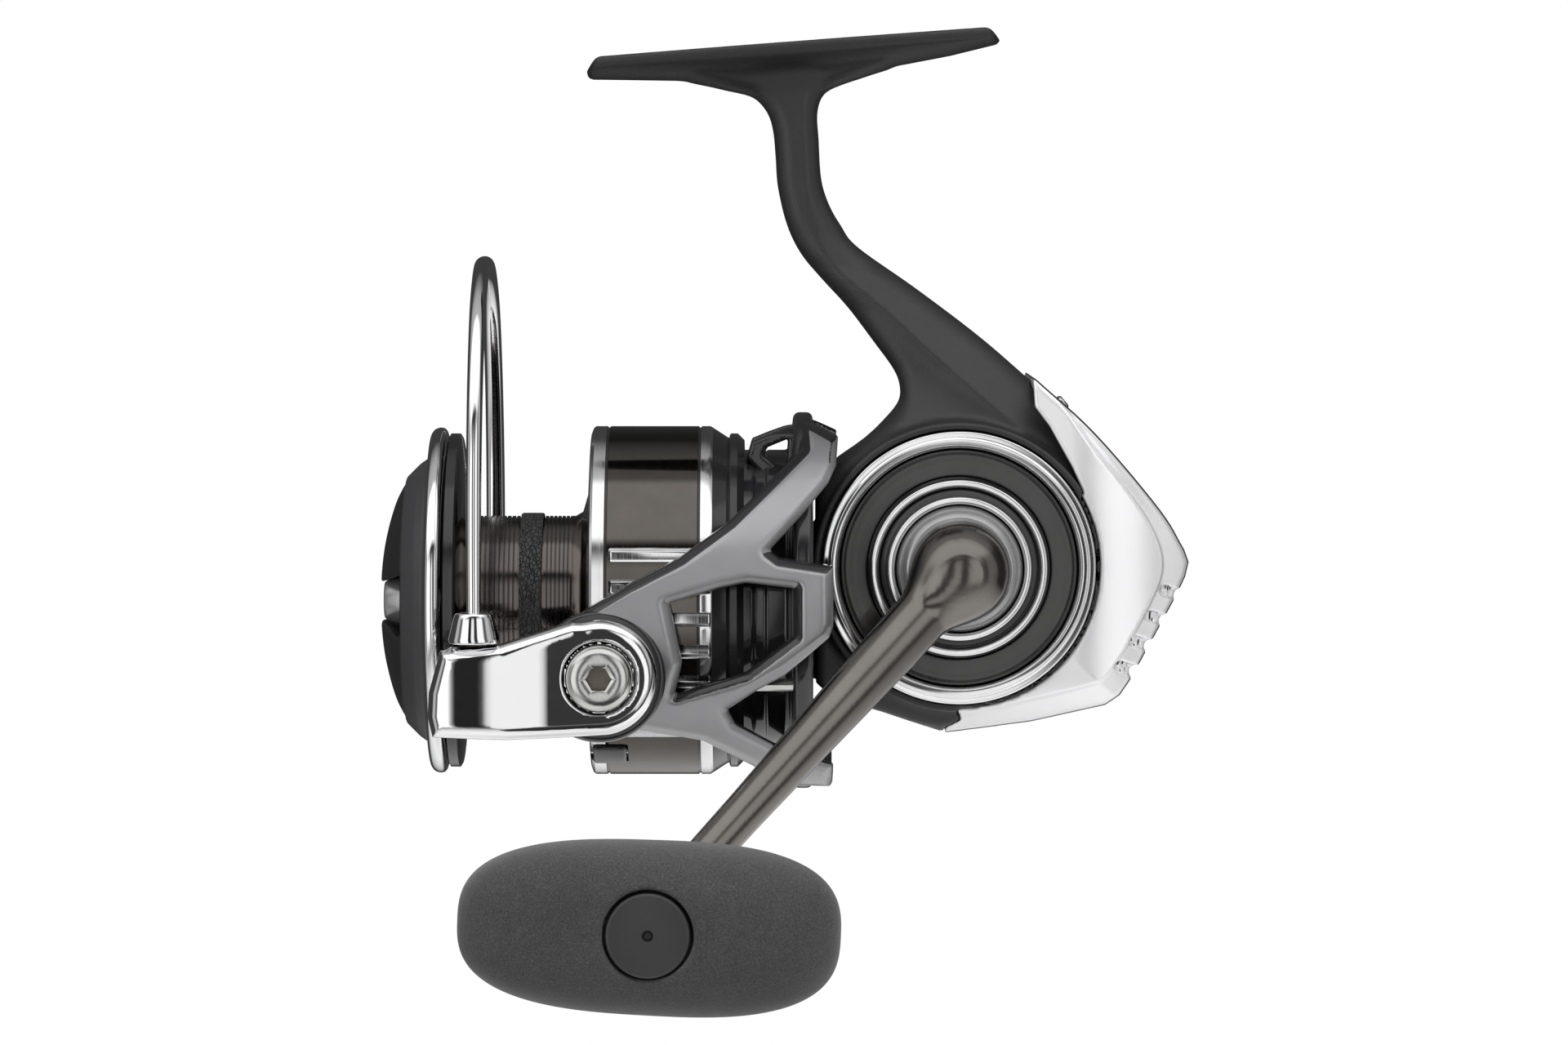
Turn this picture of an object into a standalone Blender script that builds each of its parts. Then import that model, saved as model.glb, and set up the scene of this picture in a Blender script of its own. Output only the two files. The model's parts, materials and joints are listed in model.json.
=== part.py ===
"""Spinning reel with a fixed spool, front drag and a T-bar handle on its left side.

Sizes below are in millimetres. The reel is drawn about its own centre, a point on the spool axis
straight under the handle axis, with +X forward through the spool, +Y to the handle side and +Z up
to the foot. One empty then tilts all of it, so that the foot's face lies level at the origin.
"""

import math

import bmesh
import bpy
import numpy as np
from mathutils import Euler, Matrix, Vector

MM = 0.001
GAP = 0.3  # between two pieces that touch on the real reel

# Foot and frame
TILT = math.radians(4.3)  # the spool axis rises this much against the foot
FOOT_X, FOOT_Z = 26.3, 91.95  # middle of the foot's face
FOOT_FRONT, FOOT_REAR = 34.6, -33.4  # its ends, along the foot
HOUSING_HALF = 17.2  # half width of the gear housing
TAIL_HALF = 16.8  # half width of its tail, under the rear cover

# Handle
HANDLE_Z = 6.5  # the handle axis passes this far above the spool axis
HANDLE_REACH = 71.0
HANDLE_ANGLE = math.radians(46.5)  # the crank rests this far below forward
ARM_ROOT_Y, ARM_END_Y = 31.0, 61.5
KNOB_LENGTH, KNOB_HEIGHT = 58.7, 26.8
KNOB_INNER_Y, KNOB_OUTER_Y = 66.2, 90.0

# Side plate, on the handle axis
RING_OUTER, RING_INNER = 22.1, 19.4
BORE_RADIUS = 19.2

# Gears
GEAR_TEETH, PINION_TEETH = 40, 7
GEAR_INNER, GEAR_OUTER = 11.5, 14.5
GEAR_TIP_Y, GEAR_BACK_Y = -3.0, -8.2
PINION_PITCH, PINION_WAVE = 3.7, 0.85
CONTACT_X = 11.2
SPUR_MODULE, SPUR_TEETH, CRANK_TEETH = 0.7, 10, 26
CRANK_Z = HANDLE_Z - SPUR_MODULE * (SPUR_TEETH + CRANK_TEETH) / 2
STROKE = 16.0
SHAFT_RADIUS = 2.0

# Rotor and bail
PIVOT_X, PIVOT_Z = 57.7, -10.0
ARM_CLEAR = 29.9  # nothing of the rotor's arms is nearer the spool axis
ROTOR_SIDE, ROTOR_TOP = 35.4, 31.6  # half width and half height over the arms
ROTOR_CORE = 24.8
BAIL_INNER_Y, BAIL_OUTER_Y = 35.8, 39.8
TRIP_PLACE = (0, 25.9, -12.0)
WIRE_X, WIRE_Y = 77.6, 37.2
ROLLER_X, ROLLER_Y = 78.0, 32.0

# Spool
LIP_RADIUS, SKIRT_RADIUS, BED_RADIUS = 28.5, 28.7, 13.9
SKIRT_INNER = 25.7
SLOT_PITCH = math.radians(10.5)
SLOT_GROUP = 7  # slots on each side
SLOTS_ABOVE = 1.75  # pitches from the first slot down to the handle side's middle


# ---------------------------------------------------------------- scene and materials


def clear_scene():
    for obj in list(bpy.data.objects):
        bpy.data.objects.remove(obj, do_unlink=True)


def new_collection(name):
    collection = bpy.data.collections.new(name)
    bpy.context.scene.collection.children.link(collection)
    return collection


def material(name, colour, roughness, metallic):
    made = bpy.data.materials.new(name)
    made.use_nodes = True
    shader = made.node_tree.nodes["Principled BSDF"]
    shader.inputs["Base Color"].default_value = (*colour, 1.0)
    shader.inputs["Roughness"].default_value = roughness
    shader.inputs["Metallic"].default_value = metallic
    return made


clear_scene()
PARTS = new_collection("spinning_reel")
CUTTERS = new_collection("cutters")

BLACK_PAINT = material("black_paint", (0.03, 0.03, 0.032), 0.55, 0.0)
BLACK_PLASTIC = material("black_plastic", (0.012, 0.012, 0.013), 0.3, 0.0)
BRIGHT = material("bright_metal", (0.8, 0.8, 0.8), 0.2, 1.0)
CHROME = material("chrome", (0.75, 0.75, 0.76), 0.06, 1.0)
GREY_PAINT = material("grey_paint", (0.25, 0.25, 0.26), 0.4, 0.6)
GUNMETAL = material("gunmetal", (0.12, 0.11, 0.1), 0.3, 1.0)
STEEL = material("steel", (0.5, 0.5, 0.5), 0.3, 1.0)
BRASS = material("brass", (0.7, 0.5, 0.25), 0.3, 1.0)
FOAM = material("foam", (0.04, 0.04, 0.042), 0.8, 0.0)
RUBBER = material("rubber", (0.015, 0.015, 0.015), 0.7, 0.0)
FELT = material("felt", (0.35, 0.33, 0.28), 0.9, 0.0)


# ---------------------------------------------------------------- modelling helpers

TO_SPOOL_AXIS = Euler((0, math.pi / 2, 0)).to_matrix()  # a turned piece's Z to +X
TO_HANDLE_AXIS = Euler((-math.pi / 2, 0, 0)).to_matrix()  # its Z to +Y
UPRIGHT = Matrix.Identity(3)
VIEWS = {
    "side": Matrix(((1, 0, 0), (0, 0, -1), (0, 1, 0))),  # outline in X and Z
    "front": Matrix(((0, 0, 1), (1, 0, 0), (0, 1, 0))),  # outline in Y and Z
    "top": Matrix.Identity(3),  # outline in X and Y
}


def empty(name, at, parent=None, rotation=(0, 0, 0)):
    """An empty on a joint's axis; the pieces that move with it are its children."""
    made = bpy.data.objects.new(name, None)
    PARTS.objects.link(made)
    made.parent = parent
    made.location = Vector(at) * MM
    made.rotation_euler = rotation
    return made


def centre_of(parent):
    """The place of a joint's empty in the reel's own frame."""
    place = Vector((0, 0, 0))
    while parent is not REEL:
        place += parent.location
        parent = parent.parent
    return place


def place(obj, parent, at, rotation):
    obj.parent = parent
    obj.matrix_basis = Matrix.Translation(Vector(at) * MM - centre_of(parent)) @ rotation.to_4x4()
    return obj


def add_mesh(name, mesh, parent, look, at=(0, 0, 0), rotation=UPRIGHT):
    obj = bpy.data.objects.new(name, mesh)
    (PARTS if look else CUTTERS).objects.link(obj)
    if look:
        mesh.materials.append(look)
    else:
        obj.hide_render = True
        obj.display_type = "WIRE"
    return place(obj, parent, at, rotation)


def turned(name, profile, parent, look=None, turn=TO_SPOOL_AXIS, at=(0, 0, 0), steps=24):
    """A turned piece, from (place along the axis, radius) points; one off the axis is a closed ring."""
    area = 0.0
    for (h0, r0), (h1, r1) in zip(profile, profile[1:] + profile[:1]):
        area += r0 * h1 - r1 * h0
    points = list(reversed(profile)) if area > 0 else list(profile)
    solid = min(r for _, r in points) <= 0
    if solid:
        while points[0][1] > 0 or points[-1][1] > 0:
            points = points[1:] + points[:1]
    edges = [(i, i + 1) for i in range(len(points) - 1)]
    if not solid:
        edges.append((len(points) - 1, 0))
    mesh = bpy.data.meshes.new(name)
    mesh.from_pydata([(r * MM, 0, h * MM) for h, r in points], edges, [])
    obj = add_mesh(name, mesh, parent, look, at, turn)
    screw = obj.modifiers.new("turn", "SCREW")
    screw.steps = screw.render_steps = steps
    screw.use_merge_vertices = True
    screw.merge_threshold = 1e-6
    screw.use_smooth_shade = True
    return obj


def ring(name, low, high, inner, outer, parent, look=None, turn=TO_SPOOL_AXIS, at=(0, 0, 0), steps=20):
    profile = [(low, inner), (low, outer), (high, outer), (high, inner)]
    return turned(name, profile, parent, look, turn, at, steps)


def rod(name, low, high, radius, parent, look=None, turn=TO_SPOOL_AXIS, at=(0, 0, 0), steps=16):
    profile = [(high, 0), (high, radius), (low, radius), (low, 0)]
    return turned(name, profile, parent, look, turn, at, steps)


def hex_nut(name, low, high, bore, corner, parent, look):
    """A nut on the spool axis, from its bore's radius and the radius to its corners."""
    outlines = [arc((0, 0), corner, 0, 300, 6), arc((0, 0), bore, 0, 330, 12)]
    return prism(name, outlines, low, high, parent, look, "front")


def mesh_from_curve(name, curve):
    """The evaluated curve as a mesh with its caps welded on."""
    guide = bpy.data.objects.new(name + "_curve", curve)
    CUTTERS.objects.link(guide)
    bpy.context.view_layer.update()
    graph = bpy.context.evaluated_depsgraph_get()
    mesh = bpy.data.meshes.new_from_object(guide.evaluated_get(graph))
    bpy.data.objects.remove(guide, do_unlink=True)
    bm = bmesh.new()
    bm.from_mesh(mesh)
    bmesh.ops.remove_doubles(bm, verts=bm.verts, dist=1e-6)
    bmesh.ops.recalc_face_normals(bm, faces=bm.faces)
    bm.to_mesh(mesh)
    bm.free()
    mesh.name = name
    return mesh


def prism(name, outlines, low, high, parent, look=None, view="side", at=(0, 0, 0)):
    """A flat outline, with any holes after it, made thick from low to high across its view."""
    curve = bpy.data.curves.new(name, "CURVE")
    curve.dimensions = "2D"
    curve.fill_mode = "BOTH"
    curve.extrude = (high - low) / 2 * MM
    for outline in outlines:
        spline = curve.splines.new("POLY")
        spline.points.add(len(outline) - 1)
        spline.use_cyclic_u = True
        for point, (u, v) in zip(spline.points, outline):
            point.co = (u * MM, v * MM, 0, 1)
    mesh = mesh_from_curve(name, curve)
    middle = (low + high) / 2
    across = {"side": (0, middle, 0), "front": (middle, 0, 0), "top": (0, 0, middle)}[view]
    return add_mesh(name, mesh, parent, look, Vector(at) + Vector(across), VIEWS[view])


def tube(name, route, radii, parent, look=None, sides=2, at=(0, 0, 0)):
    """A round bar along a route, with its own radius at each point."""
    curve = bpy.data.curves.new(name, "CURVE")
    curve.dimensions = "3D"
    curve.bevel_depth = MM
    curve.bevel_resolution = sides
    curve.use_fill_caps = True
    spline = curve.splines.new("POLY")
    spline.points.add(len(route) - 1)
    for point, where, radius in zip(spline.points, route, radii):
        point.co = (*(Vector(where) * MM), 1)
        point.radius = radius
    return add_mesh(name, mesh_from_curve(name, curve), parent, look, at)


def block(name, low, high, parent, look=None, bevel=0.0):
    """A box from its lowest corner to its highest."""
    mesh = bpy.data.meshes.new(name)
    bm = bmesh.new()
    bmesh.ops.create_cube(bm, size=MM)
    bmesh.ops.scale(bm, verts=bm.verts, vec=Vector(high) - Vector(low))
    bm.to_mesh(mesh)
    bm.free()
    obj = add_mesh(name, mesh, parent, look, (Vector(low) + Vector(high)) / 2)
    if bevel:
        soften(obj, bevel)
    return obj


def soften(obj, width, angle=40):
    bevel = obj.modifiers.new("soften", "BEVEL")
    bevel.width = width * MM
    bevel.segments = 1
    bevel.limit_method = "ANGLE"
    bevel.angle_limit = math.radians(angle)


def combine(obj, operation, *others):
    for other in others:
        step = obj.modifiers.new(other.name, "BOOLEAN")
        step.operation = operation
        step.object = other
    return obj


def join(obj, *others):
    return combine(obj, "UNION", *others)


def cut(obj, *others):
    return combine(obj, "DIFFERENCE", *others)


def keep(obj, *others):
    return combine(obj, "INTERSECT", *others)


def arc(centre, radius, start, end, count):
    """Points on an arc, from one angle in degrees to another."""
    angles = np.radians(np.linspace(start, end, count))
    return [(centre[0] + radius * math.cos(a), centre[1] + radius * math.sin(a)) for a in angles]


def through(points, spans=2):
    """A smooth open line through a few points."""
    p = [Vector(point) for point in points]
    p = [2 * p[0] - p[1], *p, 2 * p[-1] - p[-2]]
    line = []
    for a, b, c, d in zip(p, p[1:], p[2:], p[3:]):
        for step in range(spans):
            t = step / spans
            line.append(
                tuple(0.5 * (2 * b + (c - a) * t + (2 * a - 5 * b + 4 * c - d) * t**2
                             + (3 * b - a - 3 * c + d) * t**3))
            )
    return [*line, tuple(p[-2])]


def inset(points, centre, distance):
    """The points drawn in towards a centre."""
    moved = []
    for point in points:
        arm = Vector(point) - Vector(centre)
        moved.append(tuple(Vector(centre) + arm * (1 - distance / arm.length)))
    return moved


def from_foot(x, z):
    """A point given along and above the foot's face, in the reel's own X and Z."""
    return (
        FOOT_X + x * math.cos(TILT) + z * math.sin(TILT),
        FOOT_Z - x * math.sin(TILT) + z * math.cos(TILT),
    )


# ---------------------------------------------------------------- frames of the moving bodies

place_of_centre = Euler((0, -TILT, 0)).to_matrix() @ Vector((FOOT_X, 0, FOOT_Z))
REEL = empty("reel", -place_of_centre, rotation=(0, -TILT, 0))
KNOB_X = HANDLE_REACH * math.cos(HANDLE_ANGLE)
KNOB_Z = HANDLE_Z - HANDLE_REACH * math.sin(HANDLE_ANGLE)
HANDLE = empty("handle_axis", (0, 0, HANDLE_Z), REEL)
KNOB = empty("knob_axis", (KNOB_X, 0, KNOB_Z - HANDLE_Z), HANDLE)
CRANK = empty("oscillation_axis", (0, 0, CRANK_Z), REEL)
ROTOR = empty("rotor_axis", (0, 0, 0), REEL)
BAIL = empty("bail_axis", (PIVOT_X, 0, PIVOT_Z), ROTOR)
ROLLER = empty("roller_axis", (ROLLER_X - PIVOT_X, ROLLER_Y, 0), BAIL)
TRIP = empty("trip_axis", (0, 0, 0), ROTOR)
SHAFT = empty("shaft_axis", (0, 0, 0), REEL)
SPOOL = empty("spool_axis", (0, 0, 0), SHAFT)
DRAG = empty("drag_axis", (0, 0, 0), SHAFT)


# ---------------------------------------------------------------- housing and its covers

STEM_FRONT = [(37.0, 84.3), (33.0, 82.4), (30.6, 79.0), (29.8, 74.0), (29.1, 67.0), (26.0, 58.0),
              (20.5, 51.0), (13.8, 43.0), (10.0, 37.4), (9.3, 33.2), (12.4, 28.6), (19.6, 22.8)]
STEM_REAR = [(-12.5, 35.8), (-3.7, 43.4), (6.6, 51.4), (16.2, 58.2), (20.6, 64.0), (22.2, 70.0),
             (22.8, 77.0), (22.2, 82.0), (19.4, 85.0), (11.8, 87.4)]
TAIL = [(-12.7, 36.8), (-22.2, 28.1), (-32.9, 15.6), (-37.6, 8.0), (-37.8, 3.4), (-29.5, -12.1),
        (-25.4, -16.0), (-11.9, -19.2), (-0.3, -20.6)]
TAIL_CENTRE = (-6.0, 8.0)


def housing_shape(name, look, tail_inset, swell=0.0):
    """Side outline, front outline and plan of the casting, each made solid and kept where all three meet."""
    half_width, tail_half = HOUSING_HALF + swell, TAIL_HALF + swell
    foot_front = [from_foot(FOOT_FRONT - 3, 0), from_foot(FOOT_FRONT, -2.2), from_foot(FOOT_FRONT, -3.6),
                  from_foot(20.5, -5.1)]
    foot_rear = [from_foot(-20.5, -3.5), from_foot(FOOT_REAR, -2.4), from_foot(FOOT_REAR + 1.5, 0)]
    side = [*foot_front, *through(STEM_FRONT), (20.6, 22.0), (20.6, -14.6), (12.2, -17.4), (2.8, -20.6),
            *reversed(inset(TAIL, TAIL_CENTRE, tail_inset)), *through(STEM_REAR[1:]), *foot_rear]
    widths = [(-24, half_width - 6), (-19, half_width - 2), (-12, half_width), (23, half_width), (31, 13.5 + swell),
              (40, 9.2 + swell), (50, 6.2 + swell), (60, 4.9), (80, 4.7), (84, 5.2), (87.2, 9.5), (98, 9.5)]
    front = [(y, z) for z, y in widths] + [(-y, z) for z, y in reversed(widths)]
    plan = [(75, -half_width), (75, half_width), (-11, half_width), (-12, tail_half), (-24, tail_half),
            (-33, tail_half - 4), (-42, tail_half - 10)]
    plan += [(x, -y) for x, y in reversed(plan[2:])]
    body = prism(name, [side], -30, 30, REEL, look)
    return keep(body, prism(name + "_front", [front], -60, 90, REEL, view="front"),
                prism(name + "_plan", [plan], -40, 110, REEL, view="top"))


def make_housing():
    body = housing_shape("body_housing", BLACK_PAINT, 1.8)
    nose = turned("housing_nose", [(18, 0), (18, 13.6), (24, 12.8), (34, 12.4), (34, 0)], REEL)
    join(body, nose)
    axis = (0, 0, HANDLE_Z)
    pocket = [(-24, 3), (-22, -8), (-17, -15.2), (-11, -16.2), (11, -16.2), (14.3, -15.3), (14.3, 5)]
    cut(body,
        rod("plate_bore", -12.8, 30, BORE_RADIUS, REEL, turn=TO_HANDLE_AXIS, at=axis, steps=36),
        prism("gear_pocket", [pocket], -4, 13, REEL),
        rod("far_bearing_seat", -19, -10, 6.3, REEL, turn=TO_HANDLE_AXIS, at=axis),
        turned("pinion_bore", [(12, 0), (12, 7.7), (23.4, 7.7), (23.4, 9.3), (36, 9.3), (36, 0)], REEL),
        rod("shaft_bore", -31, -15, 3.2, REEL, steps=12))
    return body


def make_rear_cover():
    cover = housing_shape("rear_cover", BRIGHT, 0.0, 1.6)
    edge = arc((0, HANDLE_Z), 22.9, 143, 258, 12)
    keep_side = [(-11.9, 38.0), (-12.4, 31.5), *edge, (-0.6, -18.0), (-0.4, -24.0),
                 (-50, -24), (-50, 38)]
    keep(cover, prism("cover_reach", [keep_side], -30, 30, REEL))
    hollow = housing_shape("cover_hollow", None, 1.5, GAP)
    cut(cover, hollow)
    for i in range(4):
        x, z = -36.0 + 2.2 * i, 0.1 - 4.0 * i
        cut(cover, prism(f"tail_notch_{i}", [arc((x - 1.6, z), 1.3, 0, 330, 8)], -30, 30, REEL))
    return cover


def make_cover_screws():
    for name, (x, z), lean in (("upper", (-17.0, 33.2), 50), ("lower", (-6.0, -20.2), 188)):
        turn = Euler((0, -math.radians(lean), 0)).to_matrix()
        rod(f"rear_cover_screw_{name}", 0.35, 1.25, 1.9, REEL, STEEL, turn, (x, 0, z), steps=12)


def make_side_plate():
    axis = (0, 0, HANDLE_Z)
    turned("side_cover", [(13.8, 8.6), (13.8, 18.9), (19.9, 18.9), (19.9, 14.7), (18.8, 14.7), (18.8, 8.6)],
           REEL, BLACK_PLASTIC, TO_HANDLE_AXIS, axis, 32)
    turned("cover_outer_ring", [(17.6, RING_INNER), (17.6, RING_OUTER), (20.0, RING_OUTER), (20.9, 21.2),
                                (20.4, RING_INNER)], REEL, BRIGHT, TO_HANDLE_AXIS, axis, 32)
    ring("cover_inner_ring", 19.2, 21.4, 13.0, 14.3, REEL, BRIGHT, TO_HANDLE_AXIS, axis, 28)
    turned("bearing_cap", [(19.2, 8.9), (19.2, 12.7), (21.2, 12.7), (22.2, 11.7), (22.2, 10.6), (21.0, 10.4),
                           (21.0, 8.9)], REEL, BLACK_PLASTIC, TO_HANDLE_AXIS, axis, 24)
    ring("seal_ring", 22.5, 23.5, 10.5, 11.6, REEL, BRIGHT, TO_HANDLE_AXIS, axis, 24)
    ring("drive_bearing_near", 14.2, 18.4, 2.9, 8.3, REEL, STEEL, TO_HANDLE_AXIS, axis, 20)
    ring("drive_bearing_far", -16.6, -13.2, 2.9, 6.0, REEL, STEEL, TO_HANDLE_AXIS, axis, 20)
    turned("shaft_cap", [(-17.5, 0), (-17.5, 7.8), (-19.6, 7.8), (-20.6, 6.6), (-20.6, 0)],
           REEL, BLACK_PLASTIC, TO_HANDLE_AXIS, axis)


def make_front_bearings():
    ring("pinion_bearing", 19.8, 23.1, 3.8, 7.4, REEL, STEEL)
    ring("anti_reverse_clutch", 24.0, 31.0, 6.3, 9.0, REEL, STEEL)
    rod("slider_guide_rod", -16.2, 13.8, 1.0, REEL, STEEL, at=(0, 3.4, -14.2), steps=10)


# ---------------------------------------------------------------- gears


def pinion_radius(angle):
    return PINION_PITCH + PINION_WAVE * np.cos(PINION_TEETH * angle)


def pinion_twist():
    """Turn of the pinion's teeth along X, so that a tooth runs along the drive gear's at the contact."""
    ratio = GEAR_TEETH / PINION_TEETH
    slope = (ratio * PINION_PITCH - CONTACT_X) / HANDLE_Z
    return slope / PINION_PITCH


def lofted(name, loops, parent, look=None, around=True, at=(0, 0, 0)):
    """A closed skin over equal loops of points: end to end in a circle, or capped at both ends."""
    count, size = len(loops), len(loops[0])
    points = [Vector(p) * MM for loop in loops for p in loop]
    faces = []
    for i in range(count if around else count - 1):
        for j in range(size):
            a, b = i * size, (i + 1) % count * size
            k = (j + 1) % size
            faces.append((a + j, b + j, b + k, a + k))
    if not around:
        faces += [tuple(range(size)), tuple(reversed(range((count - 1) * size, count * size)))]
    mesh = bpy.data.meshes.new(name)
    mesh.from_pydata(points, [], faces)
    bm = bmesh.new()
    bm.from_mesh(mesh)
    bmesh.ops.recalc_face_normals(bm, faces=bm.faces)
    bmesh.ops.triangulate(bm, faces=[f for f in bm.faces if len(f.verts) > 4])
    bm.to_mesh(mesh)
    bm.free()
    return add_mesh(name, mesh, parent, look, at)


def gear_face_heights(radii, angles):
    """Height of the drive gear's toothed face: the hollow that the turning pinion sweeps, less some play."""
    play = 0.36
    rolls = np.radians(np.linspace(-75, 75, 601))[None, None, :, None]
    heights = np.linspace(-5.3, GEAR_TIP_Y, 40)[None, None, None, :]
    at_gear = angles[:, :, None, None] + rolls
    x = radii[:, None, None, None] * np.cos(at_gear)
    z = HANDLE_Z - radii[:, None, None, None] * np.sin(at_gear)
    spin = GEAR_TEETH / PINION_TEETH * rolls
    inside = np.hypot(heights, z) < pinion_radius(np.arctan2(z, heights) - pinion_twist() * x - spin)
    inside &= (x > 7.0) & (x < 15.4)
    lowest = np.where(inside, heights, GEAR_TIP_Y + play).min(axis=(2, 3))
    return lowest - play


def make_drive_gear():
    columns = 5
    rows = np.array([GEAR_INNER, GEAR_OUTER])
    lean = 0.042  # radians a tooth turns for each millimetre outwards
    one_pitch = np.arange(columns) / columns * 2 * math.pi / GEAR_TEETH
    angles = one_pitch[None, :] + lean * (rows - rows[0])[:, None]
    heights = gear_face_heights(rows, angles)
    loops = []
    for tooth in range(GEAR_TEETH):
        for column in range(columns):
            turn = tooth * 2 * math.pi / GEAR_TEETH + angles[:, column]
            loop = [(r * math.cos(t), y, -r * math.sin(t))
                    for r, t, y in zip(rows, turn, heights[:, column])]
            for r, t in ((GEAR_OUTER, turn[1]), (GEAR_INNER, turn[0])):
                loop.append((r * math.cos(t), GEAR_BACK_Y + 1.6, -r * math.sin(t)))
            loops.append(loop)
    gear = lofted("drive_gear", loops, HANDLE, BRASS, at=(0, 0, HANDLE_Z))
    web = [(-8.2, 3.6), (-8.2, 13.4), (-6.0, 13.4), (-5.6, 11.8), (-5.4, 9), (-5.4, 6), (-4.6, 6), (-4.6, 3.6)]
    join(gear, turned("gear_web", web, HANDLE, None, TO_HANDLE_AXIS, (0, 0, HANDLE_Z), 24))
    return gear


def spur_outline(teeth, phase):
    """Teeth on a pitch circle, narrowed a little for play."""
    pitch = SPUR_MODULE * teeth / 2
    step = 2 * math.pi / teeth
    outline = []
    for i in range(teeth):
        middle = phase + i * step
        for share, radius in ((-0.27, pitch - 1.2 * SPUR_MODULE), (-0.12, pitch + 0.85 * SPUR_MODULE),
                              (0.12, pitch + 0.85 * SPUR_MODULE), (0.27, pitch - 1.2 * SPUR_MODULE)):
            angle = middle + share * step
            outline.append((radius * math.cos(angle), radius * math.sin(angle)))
    return outline


def make_gear_shaft():
    profile = [(-16.4, 0), (-16.4, 2.6), (-9.0, 2.6), (-9.0, 3.3), (3.4, 3.3), (3.4, 2.6), (26.2, 2.6),
               (26.2, 0)]
    shaft = turned("gear_shaft", profile, HANDLE, STEEL, TO_HANDLE_AXIS, (0, 0, HANDLE_Z), 16)
    teeth = spur_outline(SPUR_TEETH, -math.pi / 2)
    join(shaft, prism("shaft_teeth", [teeth], 9.9, 11.4, HANDLE, at=(0, 0, HANDLE_Z)))


def make_oscillating_gear():
    step = 2 * math.pi / CRANK_TEETH
    teeth = spur_outline(CRANK_TEETH, math.pi / 2 + step / 2)
    at = (0, 0, CRANK_Z)
    gear = prism("oscillating_gear", [teeth], 9.5, 11.4, CRANK, BRASS, at=at)
    join(gear, rod("crank_flange", 9.0, 9.6, 9.1, CRANK, turn=TO_HANDLE_AXIS, at=at, steps=24),
         rod("crank_hub", 9.0, 13.4, 2.4, CRANK, turn=TO_HANDLE_AXIS, at=at, steps=12),
         rod("crank_pin", 7.6, 9.3, 0.9, CRANK, turn=TO_HANDLE_AXIS, at=(-STROKE / 2, 0, CRANK_Z), steps=10))


def make_pinion():
    twist = pinion_twist()
    around = np.linspace(0, 2 * math.pi, PINION_TEETH * 5, endpoint=False)
    loops = []
    for x in np.linspace(8.2, 14.2, 9):
        loops.append([(x, r * math.cos(a + twist * x), r * math.sin(a + twist * x))
                      for a, r in zip(around, pinion_radius(around))])
    pinion = lofted("pinion", loops, ROTOR, STEEL, around=False)
    join(pinion, rod("pinion_neck", 13.6, 54.0, 3.5, ROTOR, steps=20))
    cut(pinion, rod("pinion_hole", 5, 60, SHAFT_RADIUS + GAP, ROTOR, steps=16))


# ---------------------------------------------------------------- handle


def arm_point(reach, y):
    """A point of the crank's own plane, by its distance from the handle axis."""
    return (reach * math.cos(HANDLE_ANGLE), y, HANDLE_Z - reach * math.sin(HANDLE_ANGLE))


def make_handle():
    slope = (ARM_END_Y - ARM_ROOT_Y) / HANDLE_REACH
    reaches = [0, 8, 20, 34, 50, 62, 68, 71]
    radii = [5.0, 4.6, 4.3, 3.8, 3.35, 3.2, 3.5, 3.8]
    route = [arm_point(reach, ARM_ROOT_Y + slope * reach) for reach in reaches]
    arm = tube("handle_arm", route, radii, HANDLE, GUNMETAL, sides=4)
    ball = [(26.6, 0), (26.6, 6.6), (28.4, 7.8), (31, 8.1), (34, 7.5), (37, 5.4), (38.6, 2.6), (39.1, 0)]
    boss = [(58.2, 0), (58.2, 4.6), (59.2, 5.5), (64, 5.5), (65, 4.8), (65, 0)]
    join(arm, turned("arm_ball", ball, HANDLE, None, TO_HANDLE_AXIS, (0, 0, HANDLE_Z), 24),
         turned("arm_boss", boss, HANDLE, None, TO_HANDLE_AXIS, (KNOB_X, 0, KNOB_Z), 20))
    turned("handle_collar", [(22.2, 2.9), (22.2, 10.0), (24.4, 9.9), (26.2, 8.6), (26.2, 2.9)],
           HANDLE, GREY_PAINT, TO_HANDLE_AXIS, (0, 0, HANDLE_Z), 28)
    rod("knob_post", 65.3, 84.0, 2.0, HANDLE, STEEL, TO_HANDLE_AXIS, (KNOB_X, 0, KNOB_Z), 14)


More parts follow.
